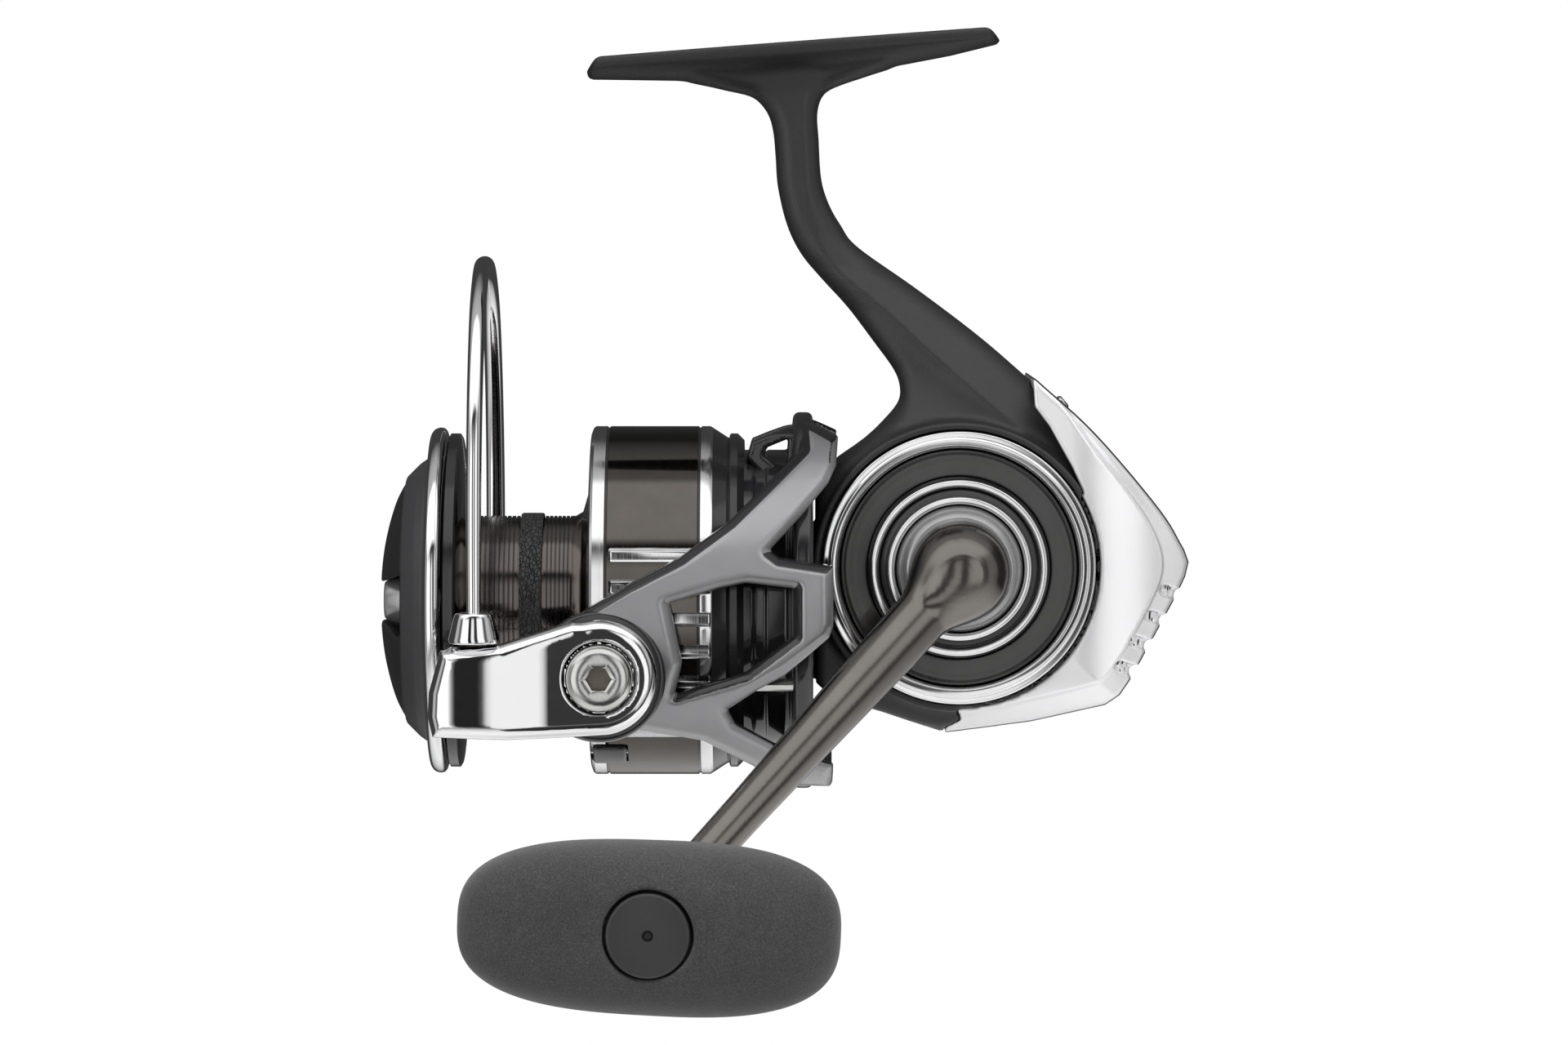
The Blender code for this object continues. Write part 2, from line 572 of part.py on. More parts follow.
def make_knob():
    """Rounded T-bar: a coarse cage smoothed by subdivision, bored for its bearings and its cap."""
    half_length, half_height = KNOB_LENGTH / 2, KNOB_HEIGHT / 2
    depth = KNOB_OUTER_Y - KNOB_INNER_Y
    mesh = bpy.data.meshes.new("handle_knob")
    bm = bmesh.new()
    bmesh.ops.create_uvsphere(bm, u_segments=16, v_segments=10, radius=1.0)
    for vertex in bm.verts:
        for i, (half, power) in enumerate(((half_length, 0.72), (depth / 2, 0.6), (half_height, 0.72))):
            vertex.co[i] = math.copysign(abs(vertex.co[i]) ** power, vertex.co[i])
        vertex.co /= max(1.0, max(abs(c) for c in vertex.co))
        vertex.co = Vector((vertex.co.x * half_length, vertex.co.y * depth / 2,
                            vertex.co.z * half_height)) * MM
    bm.to_mesh(mesh)
    bm.free()
    middle = (KNOB_X, (KNOB_INNER_Y + KNOB_OUTER_Y) / 2, KNOB_Z)
    knob = add_mesh("handle_knob", mesh, KNOB, FOAM, middle)
    at = (KNOB_X, 0, KNOB_Z)
    bore = [(60, 0), (60, 5.4), (86.6, 5.4), (86.6, 6.9), (95, 6.9), (95, 0)]
    cut(knob, turned("knob_bore", bore, KNOB, None, TO_HANDLE_AXIS, at, 24))
    ring("knob_bearing_inner", 67.5, 71.5, 2.3, 5.1, KNOB, STEEL, TO_HANDLE_AXIS, at, 18)
    ring("knob_bearing_outer", 79.0, 83.0, 2.3, 5.1, KNOB, STEEL, TO_HANDLE_AXIS, at, 18)
    turned("knob_cap", [(86.9, 0), (86.9, 6.5), (89.6, 6.45), (90.0, 6.0), (90.0, 0)],
           KNOB, BLACK_PLASTIC, TO_HANDLE_AXIS, at, 28)


# ---------------------------------------------------------------- rotor

ARM_OUTLINE = [(19.5, 27.6), (25.7, 30.8), (25.3, 25.8), (30.3, 21.0), (37.0, 14.6), (45.0, 8.8), (53.2, 4.6),
               (59.6, 0.8), (66.0, -4.0), (66.0, -16.0), (55.7, -18.5), (41.4, -21.2), (33.5, -25.8),
               (27.8, -30.4), (20.3, -30.8), (20.3, -25.5), (30.0, -21.7), (36.3, -18.0), (37.4, -15.8),
               (32.9, -12.7), (28.0, -9.9), (21.1, -3.9), (20.4, -1.9), (20.4, 7.5), (29.0, 8.8),
               (30.6, 10.0), (25.5, 15.4), (21.2, 20.4), (19.9, 23.0)]
ARM_WINDOW = [(46.6, 1.6), (38.3, 4.1), (34.3, 4.9), (26.6, 4.0), (26.6, -3.6), (34.3, -9.6), (45.8, -13.2),
              (44.6, -8.0)]


def make_rotor():
    core = [(23.6, 22.8), (23.6, 31.0), (26.8, 31.0), (27.6, ROTOR_CORE), (50, ROTOR_CORE), (50, 3.8),
            (34.8, 3.8), (34.8, 7.0), (47, 7.0), (47, 22.8)]
    rotor = turned("rotor", core, ROTOR, GREY_PAINT, steps=32)
    at = (PIVOT_X, 0, PIVOT_Z)
    for side, sign in (("near", 1), ("far", -1)):
        arm = rod(f"arm_shell_{side}", 15, 75, 1.0, ROTOR, steps=36)
        arm.scale = (ROTOR_TOP, ROTOR_SIDE, 1)
        cut(arm, rod(f"arm_clearance_{side}", 10, 80, ARM_CLEAR, ROTOR, steps=36))
        keep(arm, prism(f"arm_outline_{side}", [ARM_OUTLINE, ARM_WINDOW], *sorted((sign * 6, sign * 40)), ROTOR))
        join(arm, rod(f"pivot_disc_{side}", *sorted((sign * 30.6, sign * 35.5)), 11.4, ROTOR,
                      turn=TO_HANDLE_AXIS, at=at, steps=24))
        cut(arm, rod(f"pivot_hole_{side}", *sorted((sign * 25, sign * 40)), 3.3, ROTOR,
                     turn=TO_HANDLE_AXIS, at=at, steps=14))
        join(rotor, arm)
    cut(rotor, rod("trip_hole", 15, 31, 1.3, ROTOR, at=TRIP_PLACE, steps=8))
    return rotor


def make_rotor_fittings():
    ring("clutch_sleeve", 23.8, 34.4, 3.8, 5.9, ROTOR, STEEL, steps=20)
    hex_nut("rotor_nut", 50.4, 53.6, 3.8, 6.6, ROTOR, BRASS)
    at = (PIVOT_X, 0, PIVOT_Z)
    screw = [(30.9, 0), (30.9, 3.0), (38.4, 3.0), (38.4, 5.4), (39.8, 5.4), (40.9, 4.1), (40.9, 2.0),
             (39.6, 1.9), (39.6, 0)]
    turned("pivot_screw_near", screw, ROTOR, STEEL, TO_HANDLE_AXIS, at, 24)
    turned("pivot_screw_far", [(-y, r) for y, r in screw], ROTOR, STEEL, TO_HANDLE_AXIS, at, 24)


def make_trip_lever():
    rod("trip_lever", 24.0, 33.0, 1.0, TRIP, STEEL, at=TRIP_PLACE, steps=8)


# ---------------------------------------------------------------- bail

BAIL_OUTLINE = [(72.4, -19.9), (83.6, -19.6), (84.2, -16.3), (84.0, -12.4), (82.3, -5.7), (73.4, -4.6),
                (62.0, -1.0)]


def bail_plate(name, outline, look):
    back = arc((PIVOT_X, PIVOT_Z), 9.3, 75, 262, 12)
    return prism(name, [[*outline, *back]], BAIL_INNER_Y, BAIL_OUTER_Y, BAIL, look)


def make_bail():
    arm = bail_plate("bail_arm", BAIL_OUTLINE, CHROME)
    soften(arm, 0.5)
    join(arm, block("roller_lug_top", (74.4, 28.9, -6.9), (81.6, 37, -5.2), BAIL, bevel=0.6),
         block("roller_lug_bottom", (74.4, 28.9, -18.6), (81.6, 37, -16.6), BAIL, bevel=0.6))
    at = (PIVOT_X, 0, PIVOT_Z)
    cut(arm, turned("pivot_recess", [(30, 0), (30, 3.4), (38.0, 3.4), (38.0, 5.9), (45, 5.9), (45, 0)],
                    BAIL, None, TO_HANDLE_AXIS, at, 24),
        rod("roller_screw_hole", -24, 4, 1.3, BAIL, turn=UPRIGHT, at=(ROLLER_X, ROLLER_Y, 0), steps=10))
    holder = prism("bail_holder", [[(72.4, -11.5), (80.4, -7.2), (81.4, -3.0), (74.6, -2.2), (66.0, -3.2),
                                    *arc((PIVOT_X, PIVOT_Z), 8.4, 70, 290, 12)]],
                   -BAIL_OUTER_Y, -BAIL_INNER_Y, BAIL, CHROME)
    cut(holder, turned("far_recess", [(-30, 0), (-30, 3.4), (-38.0, 3.4), (-38.0, 5.9), (-45, 5.9), (-45, 0)],
                       BAIL, None, TO_HANDLE_AXIS, at, 24))
    turned("wire_cone", [(-4.5, 0), (-4.5, 4.0), (-3.6, 4.1), (0.4, 3.0), (0.4, 0)], BAIL, CHROME, UPRIGHT,
           (WIRE_X, WIRE_Y, 0), 24)
    turned("roller_screw", [(-19.0, 0), (-19.0, 2.2), (-18.9, 2.2), (-18.9, 1.0), (-5.4, 1.0), (-5.4, 0)],
           BAIL, STEEL, UPRIGHT, (ROLLER_X, ROLLER_Y, 0), 12)


WIRE_ROUTE = [(37.2, 0.7), (37.4, 10), (36.0, 23), (31.5, 36), (23, 47.5), (11, 54), (0, 55.3), (-11, 54),
              (-23, 47.5), (-31.5, 36), (-36.0, 23), (-37.4, 10), (-37.6, -1.9)]


def make_bail_wire():
    """A hoop in one plane across the reel, thin at the cone and thicker towards the far side."""
    line = through(WIRE_ROUTE, 2)
    route = [(WIRE_X, y, z) for y, z in line]
    near, far = 1.15, 1.65
    radii = np.linspace(near, far, len(route))
    tube("bail_wire", route, radii, BAIL, CHROME, sides=2)


def make_roller():
    at = (ROLLER_X, ROLLER_Y, 0)
    turned("line_roller", [(-16.2, 2.6), (-16.2, 3.4), (-13.0, 2.9), (-10.4, 2.9), (-7.3, 3.4), (-7.3, 2.6)],
           ROLLER, BRIGHT, UPRIGHT, at, 24)
    ring("roller_bearing", -13.6, -9.8, 1.3, 2.25, ROLLER, STEEL, UPRIGHT, at, 14)


# ---------------------------------------------------------------- shaft and slider


def make_shaft():
    rod("main_shaft", -25.0, 89.2, SHAFT_RADIUS, SHAFT, STEEL, steps=14)
    back, front = -STROKE / 2 - 2.4, -STROKE / 2 + 2.4
    slot_low, slot_high = CRANK_Z - STROKE / 2 - 1.1, CRANK_Z + STROKE / 2 + 1.1
    slider = block("slider", (-17.0, -2.7, -3.5), (-11.6, 7.2, 2.8), SHAFT, BRIGHT)
    join(slider, block("slider_plate", (back, 5.2, slot_low - 0.6), (front, 7.2, slot_high + 0.6), SHAFT),
         block("slider_link", (-13.0, 5.2, -3.5), (back + 0.5, 7.2, 2.8), SHAFT),
         block("slider_foot", (back, 1.9, slot_low - 0.6), (front, 7.2, -12.6), SHAFT))
    cut(slider, block("slider_slot", (-STROKE / 2 - 1.1, 4, slot_low), (-STROKE / 2 + 1.1, 9, slot_high), SHAFT),
        rod("slider_bore", -20, -10, SHAFT_RADIUS + GAP, SHAFT, steps=14),
        rod("slider_guide_hole", -14, -2, 1.3, SHAFT, at=(0, 3.4, -14.2), steps=10))
    rod("slider_screw", -5.4, -3.8, 1.9, SHAFT, STEEL, UPRIGHT, (-14.3, 0, 0), 12)
    ring("click_gear", 54.6, 56.2, 2.3, 6.4, SHAFT, BLACK_PLASTIC, steps=16)
    ring("spool_washer", 56.6, 58.2, 2.3, 7.6, SHAFT, BLACK_PLASTIC, steps=16)


# ---------------------------------------------------------------- spool and drag


def make_spool():
    profile = [(83.4, 12.8), (83.4, 27.2), (81.8, 27.5), (80.5, 19.8), (80.0, BED_RADIUS),
               (71.8, BED_RADIUS), (71.8, 13.3), (67.5, 13.3), (67.5, BED_RADIUS), (62.1, BED_RADIUS),
               (60.2, 18.0), (59.7, 28.4), (59.4, SKIRT_RADIUS), (40.4, SKIRT_RADIUS), (37.4, 26.8),
               (37.2, 27.5), (35.7, 27.5), (34.8, 26.4), (34.8, SKIRT_INNER), (56.6, SKIRT_INNER),
               (57.6, 14.0), (59.0, 11.0), (59.0, 2.4), (67.0, 2.4), (67.0, 11.4), (78.5, 11.4),
               (78.5, 12.8)]
    spool = turned("spool", profile, SPOOL, GUNMETAL, steps=32)
    for group in (-1, 1):
        for i in range(SLOT_GROUP):
            angle = group * SLOT_PITCH * (i - SLOTS_ABOVE) + (math.pi if group < 0 else 0)
            add_slot(spool, f"skirt_slot_{'ab'[group > 0]}{i}", angle)
    clip_turn = Euler((-math.radians(57), 0, 0)).to_matrix()
    pocket = block("clip_pocket", (53.6, 27.0, -2.9), (59.6, 32, 2.9), SPOOL)
    turn_about_spool(pocket, clip_turn)
    cut(spool, pocket)
    clip = block("line_clip", (53.9, 27.3, -2.6), (59.3, 29.3, 2.6), SPOOL, BLACK_PLASTIC, bevel=0.4)
    turn_about_spool(clip, clip_turn)


def turn_about_spool(obj, turn):
    obj.matrix_basis = turn.to_4x4() @ obj.matrix_basis


def add_slot(spool, name, below):
    """A milled slot through the skirt, this far round below the handle side."""
    slot = block(name, (42.2, 24, -1.3), (56.4, 31, 1.3), SPOOL)
    turn_about_spool(slot, Euler((-below, 0, 0)).to_matrix())
    cut(spool, slot)


def make_spool_fittings():
    turned("spool_lip", [(83.8, 24.2), (83.8, 28.1), (84.9, LIP_RADIUS), (86.3, 27.7), (86.3, 24.2)],
           SPOOL, CHROME, steps=32)
    ring("line_grip_band", 67.8, 71.5, 13.6, 14.4, SPOOL, RUBBER, steps=28)
    for name, low, high, look in (("drag_washer_rear", 67.4, 69.2, FELT), ("drag_washer_steel", 69.6, 70.6, STEEL),
                                  ("drag_washer_front", 71.0, 72.8, FELT)):
        ring(name, low, high, 2.5, 10.9, SPOOL, look, steps=16)
    ring("drag_retainer", 73.4, 74.2, 8.8, 11.0, SPOOL, STEEL, steps=16)


def make_drag_knob():
    profile = [(94.7, 0), (94.6, 5), (92.9, 14.3), (90.5, 20.2), (86.9, 23.4), (84.6, 23.4), (84.6, 7.5),
               (89.6, 7.5), (89.6, 0)]
    knob = turned("drag_knob", profile, DRAG, BLACK_PLASTIC, steps=32)
    cut(knob, prism("knob_channel", [[(90.8, -7.2), (97, -3.6), (97, 3.6), (90.8, 7.2)]], -30, 30, DRAG))
    turned("drag_knob_boss", [(94.2, 0), (94.2, 3.2), (91.1, 6.0), (91.1, 0)], DRAG, GREY_PAINT, steps=20)
    hex_nut("drag_nut", 86.2, 89.0, 2.3, 4.6, DRAG, STEEL)
    turns, radius, per_turn = 3, 4.0, 8
    coil = []
    for i in range(turns * per_turn + 1):
        angle = 2 * math.pi * i / per_turn
        coil.append((76.0 + 9.4 * i / (turns * per_turn), radius * math.cos(angle), radius * math.sin(angle)))
    tube("drag_spring", coil, [0.45] * len(coil), DRAG, STEEL, sides=1)


def main():
    make_housing()
    make_rear_cover()
    make_cover_screws()
    make_side_plate()
    make_front_bearings()
    make_drive_gear()
    make_gear_shaft()
    make_oscillating_gear()
    make_pinion()
    make_handle()
    make_knob()
    make_rotor()
    make_rotor_fittings()
    make_trip_lever()
    make_bail()
    make_bail_wire()
    make_roller()
    make_shaft()
    make_spool()
    make_spool_fittings()
    make_drag_knob()
    for obj in PARTS.objects:
        if obj.type == "MESH":
            obj.data.shade_smooth()
            obj.data.set_sharp_from_angle(angle=math.radians(35))


main()
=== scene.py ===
"""Looks of a spinning reel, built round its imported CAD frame.

Sizes are in millimetres in the reel's own frame: +X forward along the spool axis, +Y to the handle
side, +Z up to the foot, and the origin on the spool axis straight under the handle axis. REEL takes
them to the row frame in metres.
"""

import json
import math

import bmesh
import bpy
import numpy as np
from mathutils import Euler, Matrix, Vector


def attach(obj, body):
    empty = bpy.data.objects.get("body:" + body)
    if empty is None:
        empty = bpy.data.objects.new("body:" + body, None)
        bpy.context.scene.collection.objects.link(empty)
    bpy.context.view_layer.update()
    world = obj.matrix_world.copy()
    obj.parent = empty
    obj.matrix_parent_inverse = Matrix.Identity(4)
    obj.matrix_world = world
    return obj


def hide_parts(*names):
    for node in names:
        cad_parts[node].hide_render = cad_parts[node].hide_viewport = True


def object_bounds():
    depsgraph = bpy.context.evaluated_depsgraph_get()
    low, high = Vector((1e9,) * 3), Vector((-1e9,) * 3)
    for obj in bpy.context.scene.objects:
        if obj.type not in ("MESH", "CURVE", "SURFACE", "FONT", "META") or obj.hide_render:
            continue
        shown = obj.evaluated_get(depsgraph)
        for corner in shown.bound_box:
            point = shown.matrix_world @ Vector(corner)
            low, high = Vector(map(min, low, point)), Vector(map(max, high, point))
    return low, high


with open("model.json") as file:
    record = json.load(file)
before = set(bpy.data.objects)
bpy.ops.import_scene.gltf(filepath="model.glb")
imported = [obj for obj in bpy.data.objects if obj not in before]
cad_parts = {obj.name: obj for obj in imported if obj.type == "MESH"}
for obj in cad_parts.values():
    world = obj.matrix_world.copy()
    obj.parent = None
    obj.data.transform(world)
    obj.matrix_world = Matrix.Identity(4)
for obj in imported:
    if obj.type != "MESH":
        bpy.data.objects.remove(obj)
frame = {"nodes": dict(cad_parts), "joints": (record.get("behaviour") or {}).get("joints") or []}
cad_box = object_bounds()

MM = 0.001
JOINTS = {joint["name"]: joint for joint in frame["joints"]}

# Reel's own frame, from the joints
HANDLE_Z = 6.5
FORWARD = Vector(JOINTS["rotor_spin"]["axis"])
ACROSS = Vector((0, 1, 0))
UP = FORWARD.cross(ACROSS)
CENTRE = Vector(JOINTS["handle_turn"]["pos_m"]) - UP * HANDLE_Z * MM
REEL = Matrix.Translation(CENTRE) @ Matrix((FORWARD, ACROSS, UP)).transposed().to_4x4() @ Matrix.Scale(MM, 4)
TILT = math.atan2(FORWARD.z, FORWARD.x)

# Sizes shared by several pieces
FOOT_X, FOOT_Z, FOOT_MIDDLE, FOOT_HALF = 26.3, 91.95, 0.6, 34.0
HANDLE_REACH, HANDLE_ANGLE = 71.0, math.radians(46.5)
KNOB_X = HANDLE_REACH * math.cos(HANDLE_ANGLE)
KNOB_Z = HANDLE_Z - HANDLE_REACH * math.sin(HANDLE_ANGLE)
PIVOT_X, PIVOT_Z = 57.7, -10.0
WIRE_X = 77.6
TRIP_PLACE = (0, 25.9, -12.0)
ORIGIN, HANDLE_AXIS = (0, 0, 0), (0, 0, HANDLE_Z)
BED_RADIUS = 13.9
MOST_LOOKS = 4  # material slots on a carved mesh, so that it keeps its faces' looks
SHARP_TURNED, SHARP_CARVED = math.radians(38), math.radians(32)
RIM_SEGMENTS = 224
FLOOR_DROP, FLOOR_RADIUS = 0.045, 0.25  # metres; in some poses the knob comes lower than at rest
SLOT_PITCH, SLOT_GROUP, SLOTS_ABOVE = math.radians(10.5), 7, 1.75


# ------------ fields: negative inside a solid


def outline(points):
    """Signed distance to a closed outline, negative inside."""
    starts = np.array(points, float)
    ends = np.roll(starts, -1, axis=0)

    def distance(u, v):
        u, v = np.broadcast_arrays(np.asarray(u, float), np.asarray(v, float))
        nearest = np.full(u.shape, 1e9)
        inside = np.zeros(u.shape, bool)
        for (au, av), (bu, bv) in zip(starts, ends):
            du, dv = bu - au, bv - av
            share = np.clip(((u - au) * du + (v - av) * dv) / (du * du + dv * dv + 1e-12), 0, 1)
            nearest = np.minimum(nearest, (u - au - share * du) ** 2 + (v - av - share * dv) ** 2)
            if dv:
                inside ^= ((av > v) != (bv > v)) & (u < au + du * (v - av) / dv)
        return np.where(inside, -1, 1) * np.sqrt(nearest)

    return distance


def both(a, b, radius):
    """Where two solids meet, its edges rounded."""
    return np.minimum(np.maximum(a, b), -radius) + np.hypot(np.maximum(a + radius, 0), np.maximum(b + radius, 0))


def either(a, b, radius):
    """Two solids as one, with a fillet between them."""
    return -both(-a, -b, radius)


def less(a, b, radius):
    """The first solid with the second cut out of it."""
    return both(a, -b, radius)


def step_up(value):
    """A smooth rise from 0 to 1."""
    value = np.clip(value, 0, 1)
    return value * value * (3 - 2 * value)


def surface(field, low, high, step):
    """Quads over the place where a field is zero: one point in each grid cell it crosses, moved onto it."""
    low = np.array(low, float)
    counts = np.ceil((np.array(high, float) - low) / step).astype(int) + 1
    x, y, z = np.meshgrid(*[low[i] + step * np.arange(counts[i]) for i in range(3)], indexing="ij", sparse=True)
    values = np.ascontiguousarray(np.broadcast_to(field(x, y, z), counts), np.float32)
    cells = tuple(counts - 1)
    total = np.zeros((*cells, 3), np.float32)
    hits = np.zeros(cells, np.float32)
    crossings = []
    for axis in range(3):
        first = [slice(None)] * 3
        second = [slice(None)] * 3
        first[axis], second[axis] = slice(None, -1), slice(1, None)
        a, b = values[tuple(first)], values[tuple(second)]
        crossing = (a < 0) != (b < 0)
        share = np.where(crossing, a / np.where(crossing, a - b, 1), 0)
        crossings.append((crossing, a < 0))
        u, v = (axis + 1) % 3, (axis + 2) % 3
        for du in (0, 1):
            for dv in (0, 1):
                part = [slice(None)] * 3
                part[u], part[v] = slice(du, du + cells[u]), slice(dv, dv + cells[v])
                found = crossing[tuple(part)]
                hits += found
                total[..., axis] += share[tuple(part)]
                total[..., u] += du * found
                total[..., v] += dv * found
    places = np.argwhere(hits > 0)
    number = np.full(cells, -1, np.int64)
    number[tuple(places.T)] = np.arange(len(places))
    points = low + step * (places + total[tuple(places.T)] / hits[tuple(places.T)][:, None])
    faces = []
    for axis, (crossing, rising) in enumerate(crossings):
        u, v = (axis + 1) % 3, (axis + 2) % 3
        at = np.argwhere(crossing)
        at = at[(at[:, u] > 0) & (at[:, v] > 0) & (at[:, u] < cells[u]) & (at[:, v] < cells[v])]
        corners = []
        for du, dv in ((1, 1), (0, 1), (0, 0), (1, 0)):
            corner = at.copy()
            corner[:, u] -= du
            corner[:, v] -= dv
            corners.append(number[tuple(corner.T)])
        quads = np.stack(corners, 1)
        falling = ~rising[tuple(at.T)]
        quads[falling] = quads[falling][:, ::-1]
        faces.append(quads)
    h = 0.02  # half the span of each slope
    for _ in range(3):
        slope = np.stack([field(*(points + d).T) - field(*(points - d).T) for d in h * np.eye(3)], 1) / (2 * h)
        size = np.maximum((slope ** 2).sum(1), 1e-6)
        move = -slope * (field(*points.T) / size)[:, None]
        length = np.linalg.norm(move, axis=1)[:, None]
        points = points + move * np.minimum(1, 0.4 * step / np.maximum(length, 1e-9))
    mesh = bpy.data.meshes.new("surface")
    mesh.from_pydata(points.tolist(), [], np.concatenate(faces).tolist())
    mesh.shade_smooth()
    return mesh


# ------------ meshes from profiles and routes


def arc(centre, radius, start, end, count):
    """Points on an arc between two angles in degrees."""
    angles = np.radians(np.linspace(start, end, count))
    return [(centre[0] + radius * math.cos(a), centre[1] + radius * math.sin(a)) for a in angles]


def through(points, spans=6):
    """A smooth open line through a few points."""
    p = [Vector(point) for point in points]
    p = [2 * p[0] - p[1], *p, 2 * p[-1] - p[-2]]
    line = []
    for a, b, c, d in zip(p, p[1:], p[2:], p[3:]):
        for i in range(spans):
            t = i / spans
            line.append(tuple(0.5 * (2 * b + (c - a) * t + (2 * a - 5 * b + 4 * c - d) * t ** 2
                                     + (3 * b - a - 3 * c + d) * t ** 3)))
    return [*line, tuple(p[-2])]


def rounded(points, radius):
    """A closed profile with its corners rounded; a corner may carry the look of the face after it, else 0."""
    made = []
    steps, count = 3, len(points)
    for i, point in enumerate(points):
        look = (*point, 0)[2]
        before, here, after = (Vector(points[(i + k) % count][:2]) for k in (-1, 0, 1))
        on_axis = here.y <= 0
        room = min((here - before).length, (after - here).length) * 0.45
        turn = (here - before).angle(after - here, 0) if room > 0 else 0
        if on_axis or turn < math.radians(8) or room < 0.01:
            made.append((here.x, here.y, look))
            continue
        reach = min(radius, room)
        start = here + (before - here).normalized() * reach
        end = here + (after - here).normalized() * reach
        last = (*points[i - 1], 0)[2]
        for k in range(steps + 1):
            t = k / steps
            p = start * (1 - t) ** 2 + here * 2 * t * (1 - t) + end * t ** 2
            made.append((p.x, p.y, look if t >= 0.5 else last))
    return made


def lathe(profile, axis, at=ORIGIN, segments=160, hexed=()):
    """A turned solid from a closed profile of (place along the axis, radius, look); hexed points are six-sided."""
    angles = np.linspace(0, 2 * math.pi, segments, endpoint=False)
    six = 1 / np.cos((angles % (math.pi / 3)) - math.pi / 6)
    bm = bmesh.new()
    rings = []
    for i, point in enumerate(profile):
        h, r = point[:2]
        if r <= 0:
            rings.append([bm.verts.new(place(axis, at, h, 0, 0))] * segments)
            continue
        scale = six if i in hexed else np.ones(segments)
        rings.append([bm.verts.new(place(axis, at, h, r * s * math.cos(a), r * s * math.sin(a)))
                      for a, s in zip(angles, scale)])
    for i, ring_a in enumerate(rings):
        ring_b = rings[(i + 1) % len(rings)]
        look = (*profile[i], 0)[2]
        for j in range(segments):
            k = (j + 1) % segments
            corners = list(dict.fromkeys((ring_a[j], ring_a[k], ring_b[k], ring_b[j])))
            if len(corners) > 2:
                bm.faces.new(corners).material_index = look
    bmesh.ops.recalc_face_normals(bm, faces=bm.faces)
    return finished(bm)


def place(axis, at, along, u, v):
    """A point along an axis and out from it, about a centre."""
    local = {"x": (along, u, v), "y": (u, along, v), "z": (u, v, along)}[axis]
    return Vector(at) + Vector(local)


def finished(bm):
    """The built faces as a mesh, smooth but for its sharp edges."""
    mesh = bpy.data.meshes.new("piece")
    bm.to_mesh(mesh)
    bm.free()
    mesh.shade_smooth()
    mesh.set_sharp_from_angle(angle=SHARP_TURNED)
    return mesh


def added(name, data):
    """A new object in the scene."""
    obj = bpy.data.objects.new(name, data)
    bpy.context.scene.collection.objects.link(obj)
    return obj


def tube(route, radii):
    """A round bar along a smooth route, with flat ends."""
    sides, points = 28, [Vector(p) for p in route]
    tangents = [(points[min(i + 1, len(points) - 1)] - points[max(i - 1, 0)]).normalized()
                for i in range(len(points))]
    normal = tangents[0].orthogonal().normalized()
    bm = bmesh.new()
    rings = []
    for point, tangent, radius in zip(points, tangents, radii):
        normal = (normal - tangent * normal.dot(tangent)).normalized()
        side = tangent.cross(normal)
        rings.append([bm.verts.new(point + radius * (normal * math.cos(a) + side * math.sin(a)))
                      for a in np.linspace(0, 2 * math.pi, sides, endpoint=False)])
    for ring_a, ring_b in zip(rings, rings[1:]):
        for j in range(sides):
            k = (j + 1) % sides
            bm.faces.new((ring_a[j], ring_a[k], ring_b[k], ring_b[j]))
    bm.faces.new(rings[0])
    bm.faces.new(rings[-1])
    bmesh.ops.recalc_face_normals(bm, faces=bm.faces)
    return finished(bm)


def rounded_box(low, high, radius, turn, segments):
    """A box with all its edges rounded, turned about the origin."""
    low, high, bm = Vector(low), Vector(high), bmesh.new()
    bmesh.ops.create_cube(bm, size=1)
    bmesh.ops.scale(bm, verts=bm.verts, vec=high - low)
    bmesh.ops.translate(bm, verts=bm.verts, vec=(low + high) / 2)
    bmesh.ops.bevel(bm, geom=bm.edges, offset=radius, segments=segments, affect="EDGES", profile=0.5)
    bmesh.ops.transform(bm, matrix=turn, verts=bm.verts)
    return finished(bm)


def carved(mesh, cutters, look):
    """The mesh with cutters taken out of it; the new faces take that look."""
    for cutter in cutters:
        for polygon in cutter.polygons:
            polygon.material_index = look
    for part in (mesh, *cutters):
        for _ in range(MOST_LOOKS):
            part.materials.append(None)
    target = added("carved", mesh)
    made = [target]
    for cutter in cutters:
        made.append(added("cutter", cutter))
        step = target.modifiers.new("cut", "BOOLEAN")
        step.operation = "DIFFERENCE"
        step.object = made[-1]
    bpy.context.view_layer.update()
    graph = bpy.context.evaluated_depsgraph_get()
    result = bpy.data.meshes.new_from_object(target.evaluated_get(graph))
    for obj in made:
        bpy.data.objects.remove(obj, do_unlink=True)
    result.set_sharp_from_angle(angle=SHARP_CARVED)
    return result


def marked(mesh, measure):
    """Stores a measure of each point's place and normal; the finish turns to a painted dark reflection where it passes
    zero.
    """
    count = len(mesh.vertices)
    places, normals = np.empty(count * 3, np.float32), np.empty(count * 3, np.float32)
    mesh.vertices.foreach_get("co", places)
    mesh.vertices.foreach_get("normal", normals)
    mark = mesh.attributes.new("mark", "FLOAT", "POINT")
    mark.data.foreach_set("value", measure(places.reshape(-1, 3), normals.reshape(-1, 3)).astype(np.float32))
    return mesh


# ------------ materials


def nodes_of(name):
    """A new material with its nodes and its shader."""
    made = bpy.data.materials.new(name)
    made.use_nodes = True
    tree = made.node_tree
    return made, tree, tree.nodes["Principled BSDF"]


def feed(made, inputs):
    """Sets a node's inputs: a value is stored, another node's output is linked."""
    for name, value in inputs.items():
        socket = made.inputs[name]
        if isinstance(value, bpy.types.NodeSocket):
            made.id_data.links.new(value, socket)
        else:
            socket.default_value = (*value, 1) if socket.type == "RGBA" else value


